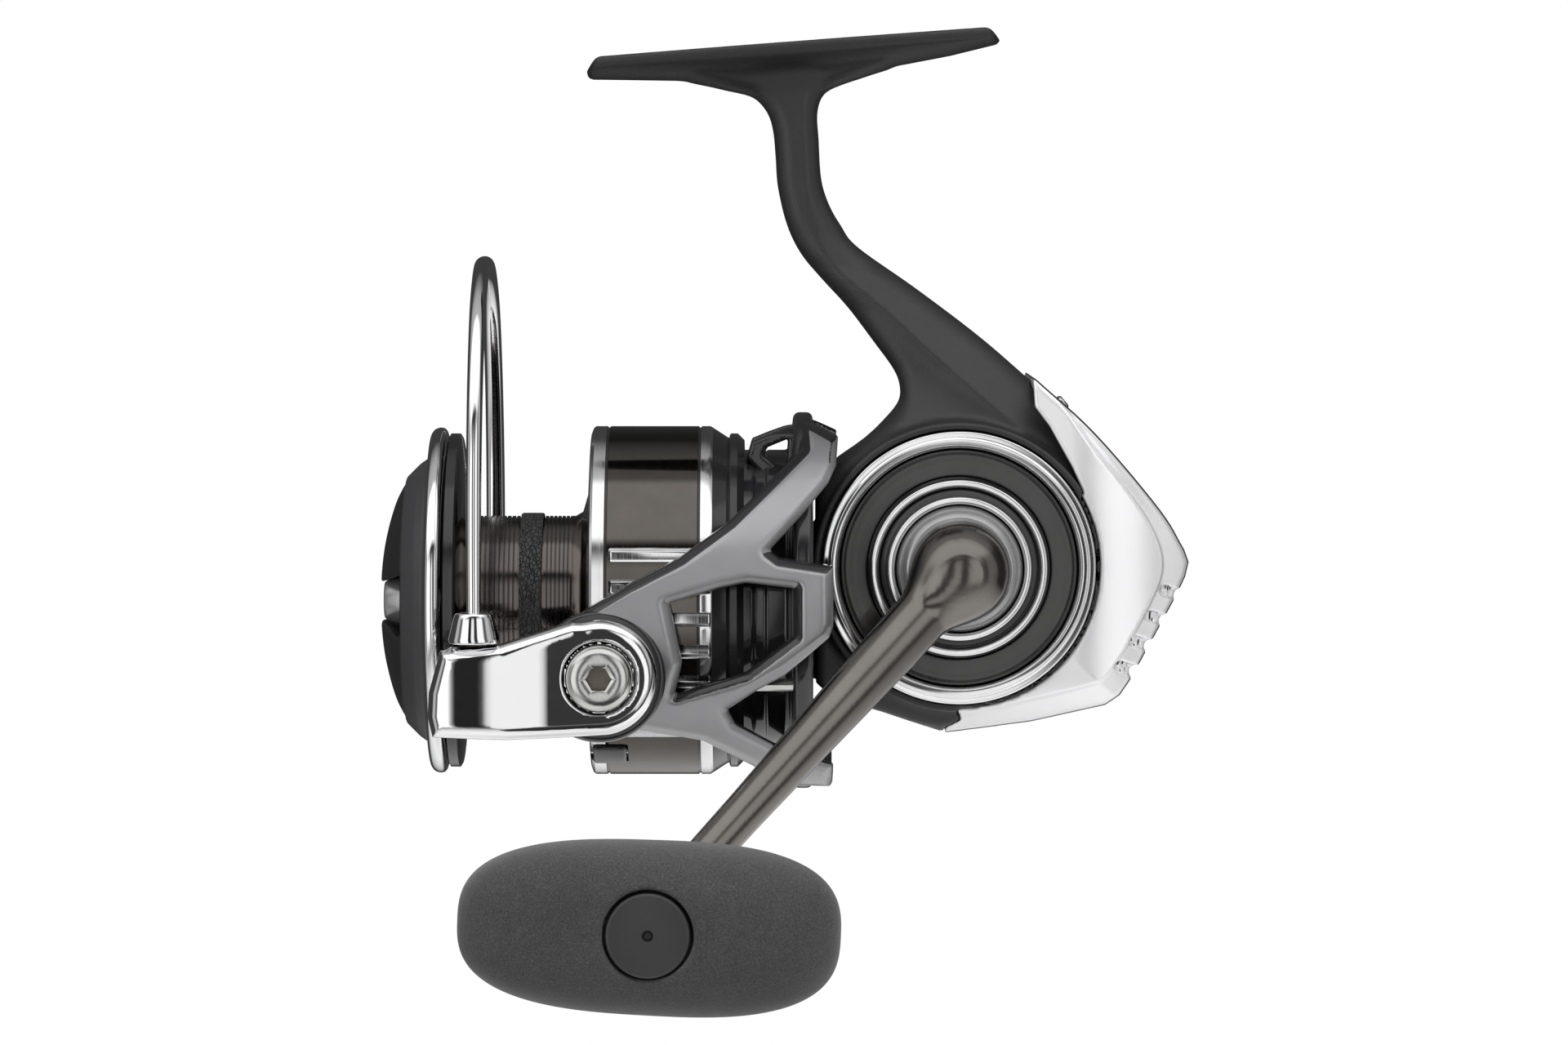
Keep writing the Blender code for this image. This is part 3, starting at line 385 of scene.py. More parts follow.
def node(tree, kind, inputs, **settings):
    """A new node with its settings and its inputs."""
    made = tree.nodes.new("ShaderNode" + kind)
    for name, value in settings.items():
        setattr(made, name, value)
    feed(made, inputs)
    return made


def vector_math(tree, operation, inputs, result="Vector"):
    return node(tree, "VectorMath", inputs, operation=operation).outputs[result]


def object_place(tree):
    return node(tree, "TexCoord", {}).outputs["Object"]


def millimetres(tree):
    """The surface's place in the row frame, in millimetres."""
    return vector_math(tree, "SCALE", {0: object_place(tree), "Scale": 1 / MM})


def noise(tree, where, grain, detail=3.0, roughness=0.6):
    """Noise with features this many millimetres across."""
    inputs = {"Scale": 1 / grain, "Detail": detail, "Roughness": roughness, "Vector": where}
    return node(tree, "TexNoise", inputs).outputs["Fac"]


def mapped(tree, source, low, high, from_low=0.3, from_high=0.7):
    """A value brought from one range to another and held inside it; noise mostly lies between 0.3 and 0.7."""
    inputs = {"From Min": from_low, "From Max": from_high, "To Min": low, "To Max": high, "Value": source}
    return node(tree, "MapRange", inputs).outputs["Result"]


def blend(tree, share, first, second, kind="RGBA", mode="MIX"):
    """A mix of two colours or numbers."""
    inputs = {"Factor": share, "A": first, "B": second}
    return node(tree, "Mix", inputs, data_type=kind, blend_type=mode).outputs["Result"]


def bumped(tree, shader, height, depth, under=None):
    """A bump of this depth in millimetres, over another one if there is one."""
    inputs = {"Strength": 1.0, "Distance": depth * MM, "Height": height}
    if under:
        inputs["Normal"] = under
    bump = node(tree, "Bump", inputs).outputs["Normal"]
    feed(shader, {"Normal": bump})
    return bump


def finish(name, colour, roughness, metallic=0.0, spread=0.06, grain=0.4, depth=0.0, vary=0.08, coat=0.0,
           coat_roughness=0.05, specular=0.5):
    """A painted, moulded or metal surface: its tone and gloss drift a little, over a fine grain."""
    made, tree, shader = nodes_of(name)
    where = millimetres(tree)
    drift = noise(tree, where, 9.0, 2.0)
    fine = noise(tree, where, grain)
    dark = tuple(c * (1 - vary) for c in colour)
    light = tuple(min(1, c * (1 + vary)) for c in colour)
    feed(shader, {"Base Color": blend(tree, mapped(tree, drift, 0, 1), dark, light),
                  "Roughness": mapped(tree, fine, max(0.0, roughness - spread), roughness + spread),
                  "Metallic": metallic, "Coat Weight": coat, "Coat Roughness": coat_roughness,
                  "Specular IOR Level": specular})
    if depth:
        bumped(tree, shader, fine, depth)
    return made


def painted_reflection_tone(made, colour, metallic, roughness):
    """The finish turns to a dark second tone where a mesh is marked: a painted dark reflection."""
    tree = made.node_tree
    shader = tree.nodes["Principled BSDF"]
    mark = node(tree, "Attribute", {}, attribute_name="mark").outputs["Fac"]
    share = mapped(tree, mark, 0, 1, -0.03, 0.03)
    for name, second, kind in (("Base Color", colour, "RGBA"), ("Roughness", roughness, "FLOAT")):
        first = shader.inputs[name].links[0].from_socket
        feed(shader, {name: blend(tree, share, first, second, kind)})
    feed(shader, {"Metallic": mapped(tree, share, shader.inputs["Metallic"].default_value, metallic, 0, 1)})
    return made


def turned_finish(name, colour, roughness, centre, axis, depth=0.002, metallic=1.0, coat=0.0):
    """Metal turned in a lathe: fine rings about an axis through a point in the row frame, in millimetres."""
    made, tree, shader = nodes_of(name)
    where = millimetres(tree)
    arm = vector_math(tree, "SUBTRACT", {0: where, 1: centre})
    cross = vector_math(tree, "CROSS_PRODUCT", {0: arm, 1: axis})
    pair = node(tree, "CombineXYZ", {"X": vector_math(tree, "DOT_PRODUCT", {0: arm, 1: axis}, "Value"),
                                     "Y": vector_math(tree, "LENGTH", {0: cross}, "Value")})
    rings = noise(tree, pair.outputs["Vector"], 0.35, 2.0)
    smudge = mapped(tree, noise(tree, where, 5.0, 2.0), 0, 1)
    dark, light = tuple(c * 0.93 for c in colour), tuple(min(1, c * 1.05) for c in colour)
    feed(shader, {"Base Color": blend(tree, smudge, dark, light),
                  "Roughness": mapped(tree, rings, max(0, roughness - 0.05), roughness + 0.07),
                  "Metallic": metallic, "Coat Weight": coat})
    if depth:
        bumped(tree, shader, rings, depth)
    return made


def foam_finish(name):
    """Dense closed-cell foam: charcoal with pale specks and a finely pitted skin."""
    made, tree, shader = nodes_of(name)
    where = millimetres(tree)
    cells = node(tree, "TexVoronoi", {"Scale": 1 / 0.42, "Vector": where})
    speck = noise(tree, where, 0.28, 4.0, 0.75)
    drift = noise(tree, where, 7.0, 2.0)
    base = blend(tree, mapped(tree, speck, 0, 1, 0.42, 0.66), (0.019, 0.019, 0.020), (0.050, 0.050, 0.052))
    shade = blend(tree, mapped(tree, drift, 0, 1), (0.85, 0.85, 0.85), (1, 1, 1))
    feed(shader, {"Base Color": blend(tree, 1.0, base, shade, mode="MULTIPLY"),
                  "Roughness": mapped(tree, speck, 0.72, 0.92), "Specular IOR Level": 0.35,
                  "Sheen Weight": 0.15, "Sheen Roughness": 0.5})
    under = bumped(tree, shader, cells.outputs["Distance"], 0.03)
    bumped(tree, shader, speck, 0.05, under)
    return made


def scaled_rubber(name):
    """Rubber with a moulded pattern of small scales."""
    made, tree, shader = nodes_of(name)
    stretch = vector_math(tree, "MULTIPLY", {0: millimetres(tree), 1: (1.3, 1.0, 0.8)})
    cells = node(tree, "TexVoronoi", {"Scale": 1 / 0.75, "Vector": stretch}, feature="DISTANCE_TO_EDGE")
    edge = mapped(tree, cells.outputs["Distance"], 0, 1, 0.0, 0.12)
    feed(shader, {"Base Color": blend(tree, edge, (0.004, 0.004, 0.004), (0.022, 0.022, 0.022)),
                  "Roughness": mapped(tree, edge, 0.75, 0.5, 0, 1)})
    bumped(tree, shader, edge, 0.12)
    return made


def row_point(x, y, z):
    """A point of the reel's frame in the row frame, in millimetres."""
    return REEL @ Vector((x, y, z)) / MM


AXLE = {"centre": row_point(0, 0, HANDLE_Z), "axis": ACROSS}
SPOOL_LINE = {"centre": row_point(0, 0, 0), "axis": FORWARD}

HOUSING_PAINT = finish("housing_black", (0.013, 0.013, 0.0135), 0.42, spread=0.07, grain=0.35, depth=0.035, vary=0.05)
# Silver cover whose rim turns near-black: a painted dark reflection on the rounded edge.
COVER_SILVER_AND_REFLECTION = painted_reflection_tone(finish("cover_silver", (0.80, 0.80, 0.81), 0.3, 0.7, spread=0.015, grain=0.8, vary=0.01,
                               coat=0.3), (0.012, 0.012, 0.012), 0.0, 0.35)
RING_SILVER = turned_finish("ring_silver", (0.85, 0.85, 0.855), 0.13, **AXLE, depth=0.0)
PLATE_DARK = turned_finish("plate_dark", (0.052, 0.051, 0.050), 0.12, **AXLE, depth=0.0003, metallic=0.8, coat=0.3)
BLACK_GLOSS = finish("black_gloss", (0.010, 0.010, 0.011), 0.14, spread=0.04, coat=0.5)
BLACK_SATIN = finish("black_satin", (0.017, 0.017, 0.018), 0.34, grain=0.3, depth=0.01)
# Grey rotor paint, near-black where marked: a painted dark reflection on the bevels that face forward or up.
ROTOR_GREY_AND_REFLECTION = painted_reflection_tone(finish("rotor_grey", (0.27, 0.27, 0.277), 0.34, 0.7, grain=0.3, vary=0.05, coat=0.35,
                              coat_roughness=0.12), (0.010, 0.010, 0.011), 0.1, 0.16)
GUNMETAL = finish("gunmetal", (0.18, 0.167, 0.153), 0.22, 1.0, spread=0.03, grain=0.2, vary=0.05, coat=0.3)
CHROME = finish("chrome_plate", (0.86, 0.86, 0.87), 0.035, 1.0, spread=0.015, grain=2.0, vary=0.01)
SKIRT_DARK = turned_finish("skirt_gunmetal", (0.115, 0.105, 0.095), 0.07, **SPOOL_LINE, depth=0.0008)
BED_DARK = turned_finish("bed_gunmetal", (0.13, 0.115, 0.105), 0.14, **SPOOL_LINE, depth=0.0015)
SPOOL_SILVER = turned_finish("spool_silver", (0.84, 0.84, 0.845), 0.14, **SPOOL_LINE, depth=0.0015)
SPOOL_BLACK = turned_finish("spool_black", (0.018, 0.018, 0.019), 0.16, **SPOOL_LINE, depth=0.001, metallic=0.4,
                            coat=0.3)
COLLAR_GREY = turned_finish("collar_grey", (0.33, 0.33, 0.335), 0.26, **AXLE, metallic=0.8)
STEEL = finish("steel", (0.60, 0.60, 0.58), 0.22, 1.0, spread=0.05, grain=0.2, depth=0.004)
# The hex socket's darker, warmer metal is painted shade in the recess.
SOCKET_SHADE = finish("socket_painted_shade", (0.20, 0.18, 0.15), 0.4, 0.9)
BRASS = finish("brass", (0.72, 0.53, 0.26), 0.3, 1.0, spread=0.08, grain=0.25, depth=0.006)
FELT = finish("felt", (0.36, 0.33, 0.27), 0.9, grain=0.2, depth=0.08, vary=0.2)
FOAM = foam_finish("knob_foam_grain")
RUBBER = scaled_rubber("scale_rubber")
KNOB_BLACK = finish("drag_wing_black", (0.009, 0.009, 0.0095), 0.5, grain=0.25, depth=0.01, specular=0.35)
KNOB_GREY = finish("drag_ring_grey", (0.034, 0.034, 0.036), 0.42, 0.3, grain=0.22, depth=0.012)


# ------------ pieces on their bodies


def piece(name, mesh, body, slot, looks, replaced=None):
    """A finished mesh, in millimetres in the reel's frame, set on its body."""
    mesh.transform(REEL)
    mesh.name = name
    indices = np.empty(len(mesh.polygons), np.int32)
    mesh.polygons.foreach_get("material_index", indices)
    mesh.materials.clear()
    for look in looks if isinstance(looks, list) else [looks]:
        mesh.materials.append(look)
    mesh.polygons.foreach_set("material_index", indices)
    obj = added(name, mesh)
    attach(obj, body)
    if replaced:
        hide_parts(replaced)
    return obj


def turned(name, profile, corner, axis, at, segments, *setting):
    """A lathed piece, the corners of its profile rounded by this radius."""
    piece(name, lathe(rounded(profile, corner), axis, at, segments), *setting)


# ------------ housing

STEM_FRONT = [(42, 86.6), (37, 84.4), (33.4, 82.8), (31.1, 80.3), (30.1, 77.2), (29.7, 73.1), (29.3, 68),
              (27.8, 61.8), (25.5, 57.1), (22.1, 53), (17.9, 48.4), (13.8, 43), (10.2, 38), (9.1, 35),
              (9.4, 32.4), (11.8, 29.3), (14.9, 26.3), (19.2, 23.2)]
STEM_REAR = [(-12.5, 36), (-3.7, 43.6), (6.6, 51.4), (16.2, 58.2), (19, 61.8), (21, 65.4), (22.2, 69.5),
             (22.6, 75.7), (22.8, 80.3), (21.6, 83.4), (18.5, 85.5), (12.5, 88.6)]
TAIL_BACK = [(-12.7, 36.8), (-22.2, 28.1), (-32.9, 15.6), (-37.1, 8.9)]
TAIL_UNDER = [(-37.9, 6.8), (-37.3, 4.4), (-35.9, 1.6), (-28, -12.2), (-26.4, -14.5), (-24, -16.2), (-11.9, -19),
              (-0.3, -20.6), (2.0, -20.9)]
RIDGE = [(25.6, 90), (25.2, 80.8), (24.7, 70.6), (24, 63.3), (20.5, 55.6), (11.7, 47.8), (1.5, 38.5),
         (-8.9, 29.8)]
CREASE = [(-9.5, 40.5), (-13.9, 35.9), (-17.4, 31.6), (-22.2, 24.8), (-28.3, 17.3), (-31.8, 11.6), (-33.1, 6.8),
          (-31.8, 2), (-27, -6.8), (-23.5, -11.4), (-20, -12.9), (-11.2, -15.1), (-2.4, -17.3)]
COVER_EDGE = outline([*through(TAIL_BACK), *TAIL_UNDER, (12, -20), (20, 10), (0, 45)])
COVER_CREASE = outline([*through(CREASE, 4), (20, -17), (20, 40)])
COVER_REACH = outline([(-12, 60), (-12, 37), (-12.3, 32.5), (-14.7, 29.3), (-18.3, 22.8), (-20.2, 18.5),
                       (-12, 8), (0, -8), (0, -17.2), (-0.5, -18.5), (2, -19.9), (3, -40), (-60, -40), (-60, 60)])


def cover_front(x, z):
    """Negative behind the cover's front edge, which runs round the side plate."""
    return np.maximum(22.95 - np.hypot(x, z - HANDLE_Z), COVER_REACH(x, z))


def cover_half(x, z):
    """Half the cover's width: a flat side face, with a lower, sloping border outside the crease."""
    plan = 18.3 - 0.0187 * np.maximum(-18 - x, 0) ** 2
    front = 18.3 - 0.024 * np.maximum(-8 - z, 0) ** 2
    past = COVER_CREASE(x, z)
    return np.minimum(plan, front) - 0.35 * step_up(past / 0.5) - 0.24 * np.maximum(past, 0)


def cover_inside(x, y, z):
    """The room inside the cover's wall."""
    return both(COVER_EDGE(x, z) + 1.5, np.abs(y) - cover_half(x, z) + 1.3, 0.5)


def cover_field(x, y, z):
    """A shell, open to the front, with a row of short grooves and dimples low on each side."""
    outer = both(COVER_EDGE(x, z), np.abs(y) - cover_half(x, z), 0.9)
    shell = both(both(outer, -cover_inside(x, y, z), 0.3), cover_front(x, z), 0.35)
    for i in range(4):
        u, v = x + 34.6 - 2.5 * i, z - 2.1 + 4.05 * i
        share = np.clip(u * 0.93 + v * 0.36, -2.0, 0.9)
        groove = np.hypot(u - share * 0.93, v - share * 0.36) - 0.85
        shell = less(shell, np.maximum(groove, cover_half(x, z) - 0.9 - np.abs(y)), 0.3)
        shell = less(shell, np.hypot(u + 1.8, v + 0.7) - 1.1, 0.3)
    return shell


def along_foot(x, z):
    """Place along the foot's face and depth under it."""
    dx, dz = x - FOOT_X, z - FOOT_Z
    return dx * math.cos(TILT) - dz * math.sin(TILT), -(dx * math.sin(TILT) + dz * math.cos(TILT))


def make_housing():
    """The casting: body, web and foot as one, with its bores, kept clear of the cover."""
    body_side = outline([*through(STEM_FRONT), (22.6, 19.8), (23.1, 17.5), (23.1, -12.5), (20.6, -14.8), (12.2, -17.4),
                         (2.8, -20.6), (-11.4, -17.6), (-24.4, -14.6), (-28.2, -11), (-36, 3.6), (-35.8, 7.4),
                         (-31.6, 14.6), (-21.2, 26.6), *through(STEM_REAR)])
    behind_ridge = outline([*through(RIDGE), (-30, 10), (-60, 40), (-20, 95)])

    def foot(x, y, z):
        """A plate with sloping ends, thickest along its middle."""
        along, depth = along_foot(x, z)
        from_middle = np.abs(along - FOOT_MIDDLE)
        half_width = np.interp(from_middle, [0, 8, 18, 28, 32, FOOT_HALF], [9.5, 9.4, 8.4, 7.0, 6.2, 4.8])
        thick = np.interp(along, [-33.4, -25, -15.3, -9.7, 0, 12, 15.5, 20, 30, 34.6],
                          [2.9, 4.3, 5.4, 6.1, 6.4, 6.2, 5.7, 5.0, 4.1, 3.7])
        tip = FOOT_HALF - np.clip(1.9 - 0.8 * depth, 0, 1.9)  # the ends slope outward from the face
        crown = thick - (thick - 1.7) * np.clip(np.abs(y) / half_width, 0, 1) ** 2
        slab = both(both(-depth, depth - crown, 0.7), from_middle - tip, 0.9)
        return both(slab, np.abs(y) - half_width, 0.7)

    def field(x, y, z):
        side = body_side(x, z)
        past = -behind_ridge(x, z)
        # Half the casting's width: a ridge with a flank behind it and a hollow before it
        crest = np.interp(z, [-24, -19, -12, 22, 30, 38, 48, 55, 60, 70, 87],
                          [11.4, 15.2, 17.2, 17.2, 15.0, 11.6, 8.2, 6.2, 5.5, 4.9, 4.7])
        dip = np.interp(z, [20, 27, 31, 38, 48, 55, 63, 80, 87], [0, 0.4, 1.6, 2.8, 2.4, 1.5, 0.8, 0.7, 0.2])
        flank = crest - np.maximum(past, 0) * np.interp(z, [20, 34, 55, 64], [0.12, 0.30, 0.30, 0.16])
        web = crest - dip * (1 - np.exp(np.minimum(past, 0) / 3.2))
        half = np.where(past > 0, flank, web)
        half = np.where(x < -12, np.minimum(half, np.interp(x, [-42, -33, -24, -13], [6.4, 12.4, 16.4, 16.8])), half)
        edge = np.interp(z, [0, 25, 36, 50, 64], [1.6, 2.2, 3.0, 3.0, 2.9])
        shape = both(side, np.abs(y) - half, edge)
        # The round seat of the side plate, the far boss and the nose that the rotor turns about
        radius = np.hypot(x, z - HANDLE_Z)
        rim = both(both(radius - 23.5, 22.3 - radius, 0.3), y - 19.3, 0.5)
        rim = both(rim, -y + 12, 0.5)
        boss = both(radius - 20.5, np.abs(y) - 18.3, 1.2)
        nose = outline([(14, 0), (14, 13.8), (24, 12.9), (34, 12.4), (34, 0), (34, -20), (14, -20)])(x, np.hypot(y, z))
        shape = either(shape, rim, 1.2)
        shape = either(shape, boss, 1.2)
        shape = either(shape, nose, 0.6)
        shape = either(shape, foot(x, y, z), 3.2)
        shape = both(shape, -along_foot(x, z)[1], 0.5)
        plate_bore = np.maximum(radius - 19.2, -12.8 - y)
        pocket = np.maximum(outline([(-24, 3), (-22, -8), (-17, -15.2), (-11, -16.2), (11, -16.2), (14.3, -15.3),
                                     (14.3, 5)])(x, z), np.maximum(-4 - y, y - 13))
        spine = np.hypot(y, z)
        pinion_bore = np.minimum(np.maximum(spine - 7.7, np.abs(x - 18) - 6), np.maximum(spine - 9.3, 23.4 - x))
        shaft_bore = np.maximum(spine - 3.2, np.abs(x + 23) - 8)
        for hollow in (plate_bore, pocket, pinion_bore, shaft_bore):
            shape = np.maximum(shape, -hollow)
        tucked = np.minimum(cover_inside(x, y, z) + 0.2, 0.15 - cover_front(x, z))
        return np.maximum(shape, tucked)

    mesh = surface(field, (-40, -20.4, -22.4), (62, 20.8, 97), 0.54)
    piece("housing", mesh, "body", "housing_paint", HOUSING_PAINT, "body_housing")


def make_cover():
    mesh = surface(cover_field, (-42, -19.2, -22), (3, 19.2, 39), 0.38)
    # The wall all round the cover's edge is marked near-black: a painted dark reflection of the dark surroundings on
    # the rounded rim.
    marked(mesh, lambda at, normal: COVER_EDGE(at[:, 0], at[:, 2]) + 0.28)
    piece("rear_cover_shell", mesh, "body", "cover_metal", COVER_SILVER_AND_REFLECTION, "rear_cover")
    for name, (x, z), lean in (("upper", (-17.35, 32.4), 50), ("lower", (-6.0, -20.0), 188)):
        head = lathe(rounded([(0.1, 0), (0.1, 1.3), (0.5, 1.3), (0.8, 0.95), (0.8, 0.6), (0.5, 0.5), (0.5, 0)], 0.12),
                     "z", segments=48)
        head.transform(Matrix.Translation((x, 0, z)) @ Euler((0, -math.radians(lean), 0)).to_matrix().to_4x4())
        piece(f"cover_screw_{name}", head, "body", "steel", STEEL, f"rear_cover_screw_{name}")


def make_side_plate():
    """Rings about the handle's axis, and the cap that closes the shaft's far end."""
    for name, replaced, slot, look, segments, corner, profile in (
        ("side_plate", "side_cover", "black_plastic", PLATE_DARK, 160, 0.25,
         [(13.8, 8.6), (13.8, 18.9), (19.7, 19.1), (19.7, 18.6), (19.35, 18.4), (19.5, 15), (18.8, 14.8),
          (18.8, 8.6)]),
        ("outer_ring", "cover_outer_ring", "bright_ring", RING_SILVER, 192, 0.15,
         [(17.6, 19.4), (17.6, 22.1), (20.4, 22.1), (20.6, 21.9), (20.6, 21.1), (20.9, 20.8), (20.75, 20),
          (20.1, 19.4)]),
        ("inner_ring", "cover_inner_ring", "bright_ring", RING_SILVER, 160, 0.15,
         [(19.2, 13), (19.2, 14.3), (21.15, 14.3), (21.4, 14.1), (21.4, 13.4), (21.1, 13)]),
        ("bearing_cover", "bearing_cap", "black_plastic", BLACK_SATIN, 160, 0.2,
         [(19.2, 8.9), (19.2, 12.7), (21, 12.7), (21.4, 12.3), (21.5, 11.9), (22.2, 11.6), (22.2, 10.6),
          (21.0, 10.4), (21.0, 8.9)]),
        ("seal", "seal_ring", "bright_ring", RING_SILVER, 160, 0.12,
         [(22.5, 10.45), (22.5, 11.6), (23.3, 11.6), (23.5, 11.4), (23.5, 10.8), (23.2, 10.45)]),
        ("far_shaft_cap", "shaft_cap", "black_plastic", BLACK_SATIN, 96, 0.25,
         [(-17.5, 0), (-17.5, 7.8), (-19.9, 7.8), (-20.6, 7), (-20.6, 5), (-20, 4.7), (-20, 3.6),
          (-20.4, 3.4), (-20.4, 0)]),
    ):
        turned(name, profile, corner, "y", HANDLE_AXIS, segments, "body", slot, look, replaced)


# ------------ handle


def make_handle():
    """A round bar from a ball on the shaft to the knob's post, rising away from the housing on the way."""
    cosine, sine = math.cos(HANDLE_ANGLE), math.sin(HANDLE_ANGLE)
    root_height, rise = 31.0, 30.5
    slope = rise / HANDLE_REACH

    def field(x, y, z):
        reach = x * cosine - (z - HANDLE_Z) * sine
        across = x * sine + (z - HANDLE_Z) * cosine
        height = root_height + slope * reach
        radius = np.interp(reach, [0, 8, 20, 34, 50, 62, 71], [5.0, 4.55, 4.25, 3.75, 3.3, 3.15, 3.2])
        bar = np.hypot(across, (y - height) * math.cos(math.atan(slope))) - radius
        bar = np.maximum(bar, np.maximum(-reach, reach - 71.5))
        hub = np.hypot(x, z - HANDLE_Z)
        ball = outline([(26.6, -9), (26.6, 6.6), *through([(27.4, 7.5), (29, 8.05), (31, 8.1), (34, 7.4),
                        (36.6, 5.7), (38.4, 3.3), (39.1, 0), (38.4, -3.3), (36.6, -5.7), (35, -9)], 3)])(y, hub)
        far = np.hypot(x - KNOB_X, z - KNOB_Z)
        boss = both(far - 5.4, np.abs(y - 61.6) - 3.4, 1.1)
        solid = either(either(bar, ball, 3.5), boss, 1.4)
        return np.maximum(solid, -np.maximum(hub - 2.9, y - 26.9))

    low = (-9, 26.2, KNOB_Z - 7)
    piece("crank_arm", surface(field, low, (KNOB_X + 7, 65.4, HANDLE_Z + 9), 0.42), "handle", "handle_metal",
          GUNMETAL, "handle_arm")
    turned("collar", [(22.3, 2.9), (22.3, 10.2), (22.9, 10.2), (24.2, 9.8), (25.4, 9.2), (26.1, 8.5), (26.2, 7.6),
                      (26.2, 2.9)],
           0.3, "y", HANDLE_AXIS, 160, "handle", "rotor_paint", COLLAR_GREY, "handle_collar")


def make_knob():
    """A T-bar of foam, wider than it is high, with its cap sunk in the outer side."""
    middle, lean, power = 78.1, math.radians(2.5), 2.8

    def field(x, y, z):
        dx, dz = x - KNOB_X, z - KNOB_Z
        u, w = dx * math.cos(lean) + dz * math.sin(lean), -dx * math.sin(lean) + dz * math.cos(lean)
        half_height = 13.35 - 0.012 * u
        body = (np.abs(u / 29.3) ** power + np.abs((y - middle) / 11.85) ** 2.2
                + np.abs(w / half_height) ** power + 1e-9) ** (1 / 2.6)
        body = (body - 1) * 11.5
        hub = np.hypot(dx, dz)
        body = less(body, np.maximum(hub - 7.0, 86.6 - y), 0.35)
        return np.maximum(body, 5.4 - hub)

    mesh = surface(field, (KNOB_X - 30, 65.8, KNOB_Z - 14.4), (KNOB_X + 30, 90.6, KNOB_Z + 14.4), 0.55)
    knob = piece("knob_grip", mesh, "knob", "knob_foam", FOAM, "handle_knob")
    turned("knob_end_cap", [(86.9, 0), (86.9, 6.5), (89.3, 6.45), (89.55, 6.1), (89.7, 3), (89.75, 0.9), (88.4, 0.6),
                            (88.4, 0)],
           0.2, "y", (KNOB_X, 0, KNOB_Z), 128, "knob", "black_plastic", BLACK_SATIN, "knob_cap")


# ------------ rotor

ARM_OUT, ARM_UP = 35.4, 31.6  # half the width and height of the ellipse that the arms' skin follows
ARM_OUTLINE = [(19.5, 27.6), (25.7, 30.8), (25.3, 25.8), (30.3, 21), (37, 14.6), (45, 8.8), (53.2, 4.6),
               (59.6, 0.8), (66, -4), (66, -16), (55.7, -18.5), (41.4, -21.2), (33.5, -25.8),
               (27.8, -30.4), (20.3, -30.8), (20.3, -25.5), (30, -21.7), (36.3, -18), (37.4, -15.8),
               (32.9, -12.7), (28, -9.9), (21.1, -3.9), (20.4, -1.9), (20.4, 7.5), (29, 8.8),
               (30.6, 10), (25.5, 15.4), (21.2, 20.4), (19.9, 23)]
ARM_WINDOW = [(46.6, 1.6), (38.3, 4.1), (34.3, 4.9), (26.6, 4), (26.6, -3.6), (34.3, -9.6), (45.8, -13.2),
              (44.6, -8.0)]


def above_skin(y, z):
    """About how far a point lies outside the arms' elliptical skin."""
    near, far = np.hypot(y / ARM_OUT, z / ARM_UP), np.hypot(y / ARM_OUT ** 2, z / ARM_UP ** 2)
    return near * (near - 1) / np.maximum(far, 1e-6)


